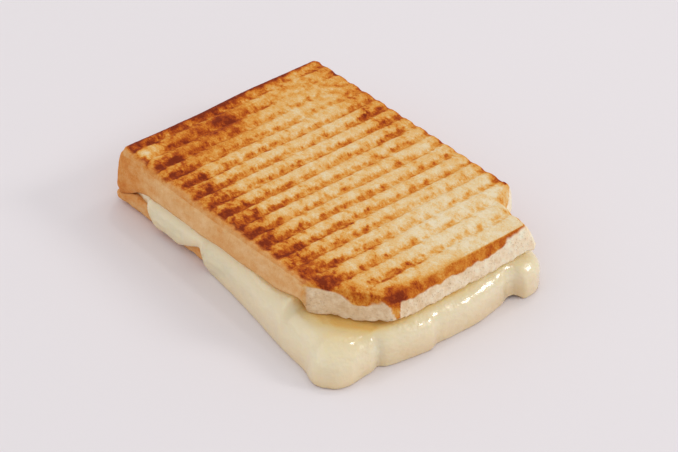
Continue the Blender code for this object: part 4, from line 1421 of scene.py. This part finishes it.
def upper_slice() -> BreadSlice:
    """The sizes of the upper slice."""
    return BreadSlice(
        name="upper_toast", node="top_slice", slot="top_bread", facing=Facing.UP,
        corners=((-68.0, -46.8, 4.0), (40.5, -47.5, 1.5), (64.4, -31.0, 1.5), (64.4, 36.5, 1.0),
                 (46.8, 39.1, 8.0), (41.5, 49.8, 2.0), (-68.0, 50.4, 3.0)),
        face_z=(25.7, 27.4), inner_z=(10.75, 14.5),
        crust_wall=((0.75, 0.09), (1.25, 0.30), (1.6, 0.58), (1.8, 0.85), (1.0, 1.0)),
        cut_wall=((1.4, 0.11), (2.3, 0.32), (2.8, 0.58), (3.1, 0.85), (2.4, 1.0)),
        grill=GrillPress(), toast=ToastMap(patches=TOP_PATCHES), finish=BreadFinish("upper_toast_finish"),
        column_step=0.5, row_step=0.56, ring_step=0.55, relief=0.16, pores=0.2, seed=3)


def lower_slice() -> BreadSlice:
    """The sizes of the lower slice, which lies on its grooved face."""
    return BreadSlice(
        name="lower_toast", node="bottom_slice", slot="lower_bread", facing=Facing.DOWN,
        corners=((-68.0, -46.4, 2.0), (54.0, -46.6, 4.0), (65.2, -38.0, 4.0), (65.2, 36.5, 3.0),
                 (41.0, 49.0, 3.0), (-68.0, 49.6, 2.5)),
        face_z=(0.0, 0.0), inner_z=(8.5, 9.2),
        crust_wall=((0.7, 0.15), (1.3, 0.42), (1.5, 0.78), (0.8, 1.0)),
        cut_wall=((0.7, 0.15), (1.3, 0.42), (1.5, 0.78), (0.8, 1.0)),
        grill=GrillPress(depth=0.9, patch_share=1.0, worn=0.0), toast=ToastMap(pads=0.3, ribs=0.66),
        finish=BreadFinish("lower_toast_finish"), column_step=0.7, row_step=0.8, ring_step=0.6,
        relief=0.1, pores=0.0, seed=4)


def main() -> None:
    """Builds the sandwich, the studio and the camera."""
    logging.basicConfig(level=logging.INFO, format="%(name)s: %(message)s")
    Camera().build()
    Studio(FloorFinish(), (
        SoftBox("key_light", 178.0, 48.0, 2.6, 0.6, 3.6, (1.0, 0.98, 0.95)),
        SoftBox("fill_light", -42.0, 45.0, 2.6, 2.0, 7.4),
        SoftBox("window_light", 138.0, 30.0, 2.6, 0.6, 13.2),
        SoftBox("back_light", 214.0, 60.0, 2.6, 0.26, 3.6),
    )).build()
    upper, lower = upper_slice(), lower_slice()
    cheese = MeltedCheese(lower=lower, upper=upper, finish=CheeseFinish(), hem=HEM)
    for part in (lower, cheese, upper):
        piece = part.build()
        log.info("%s: %d points, %d faces", piece.name, len(piece.data.vertices), len(piece.data.polygons))


if __name__ == "__main__":
    main()
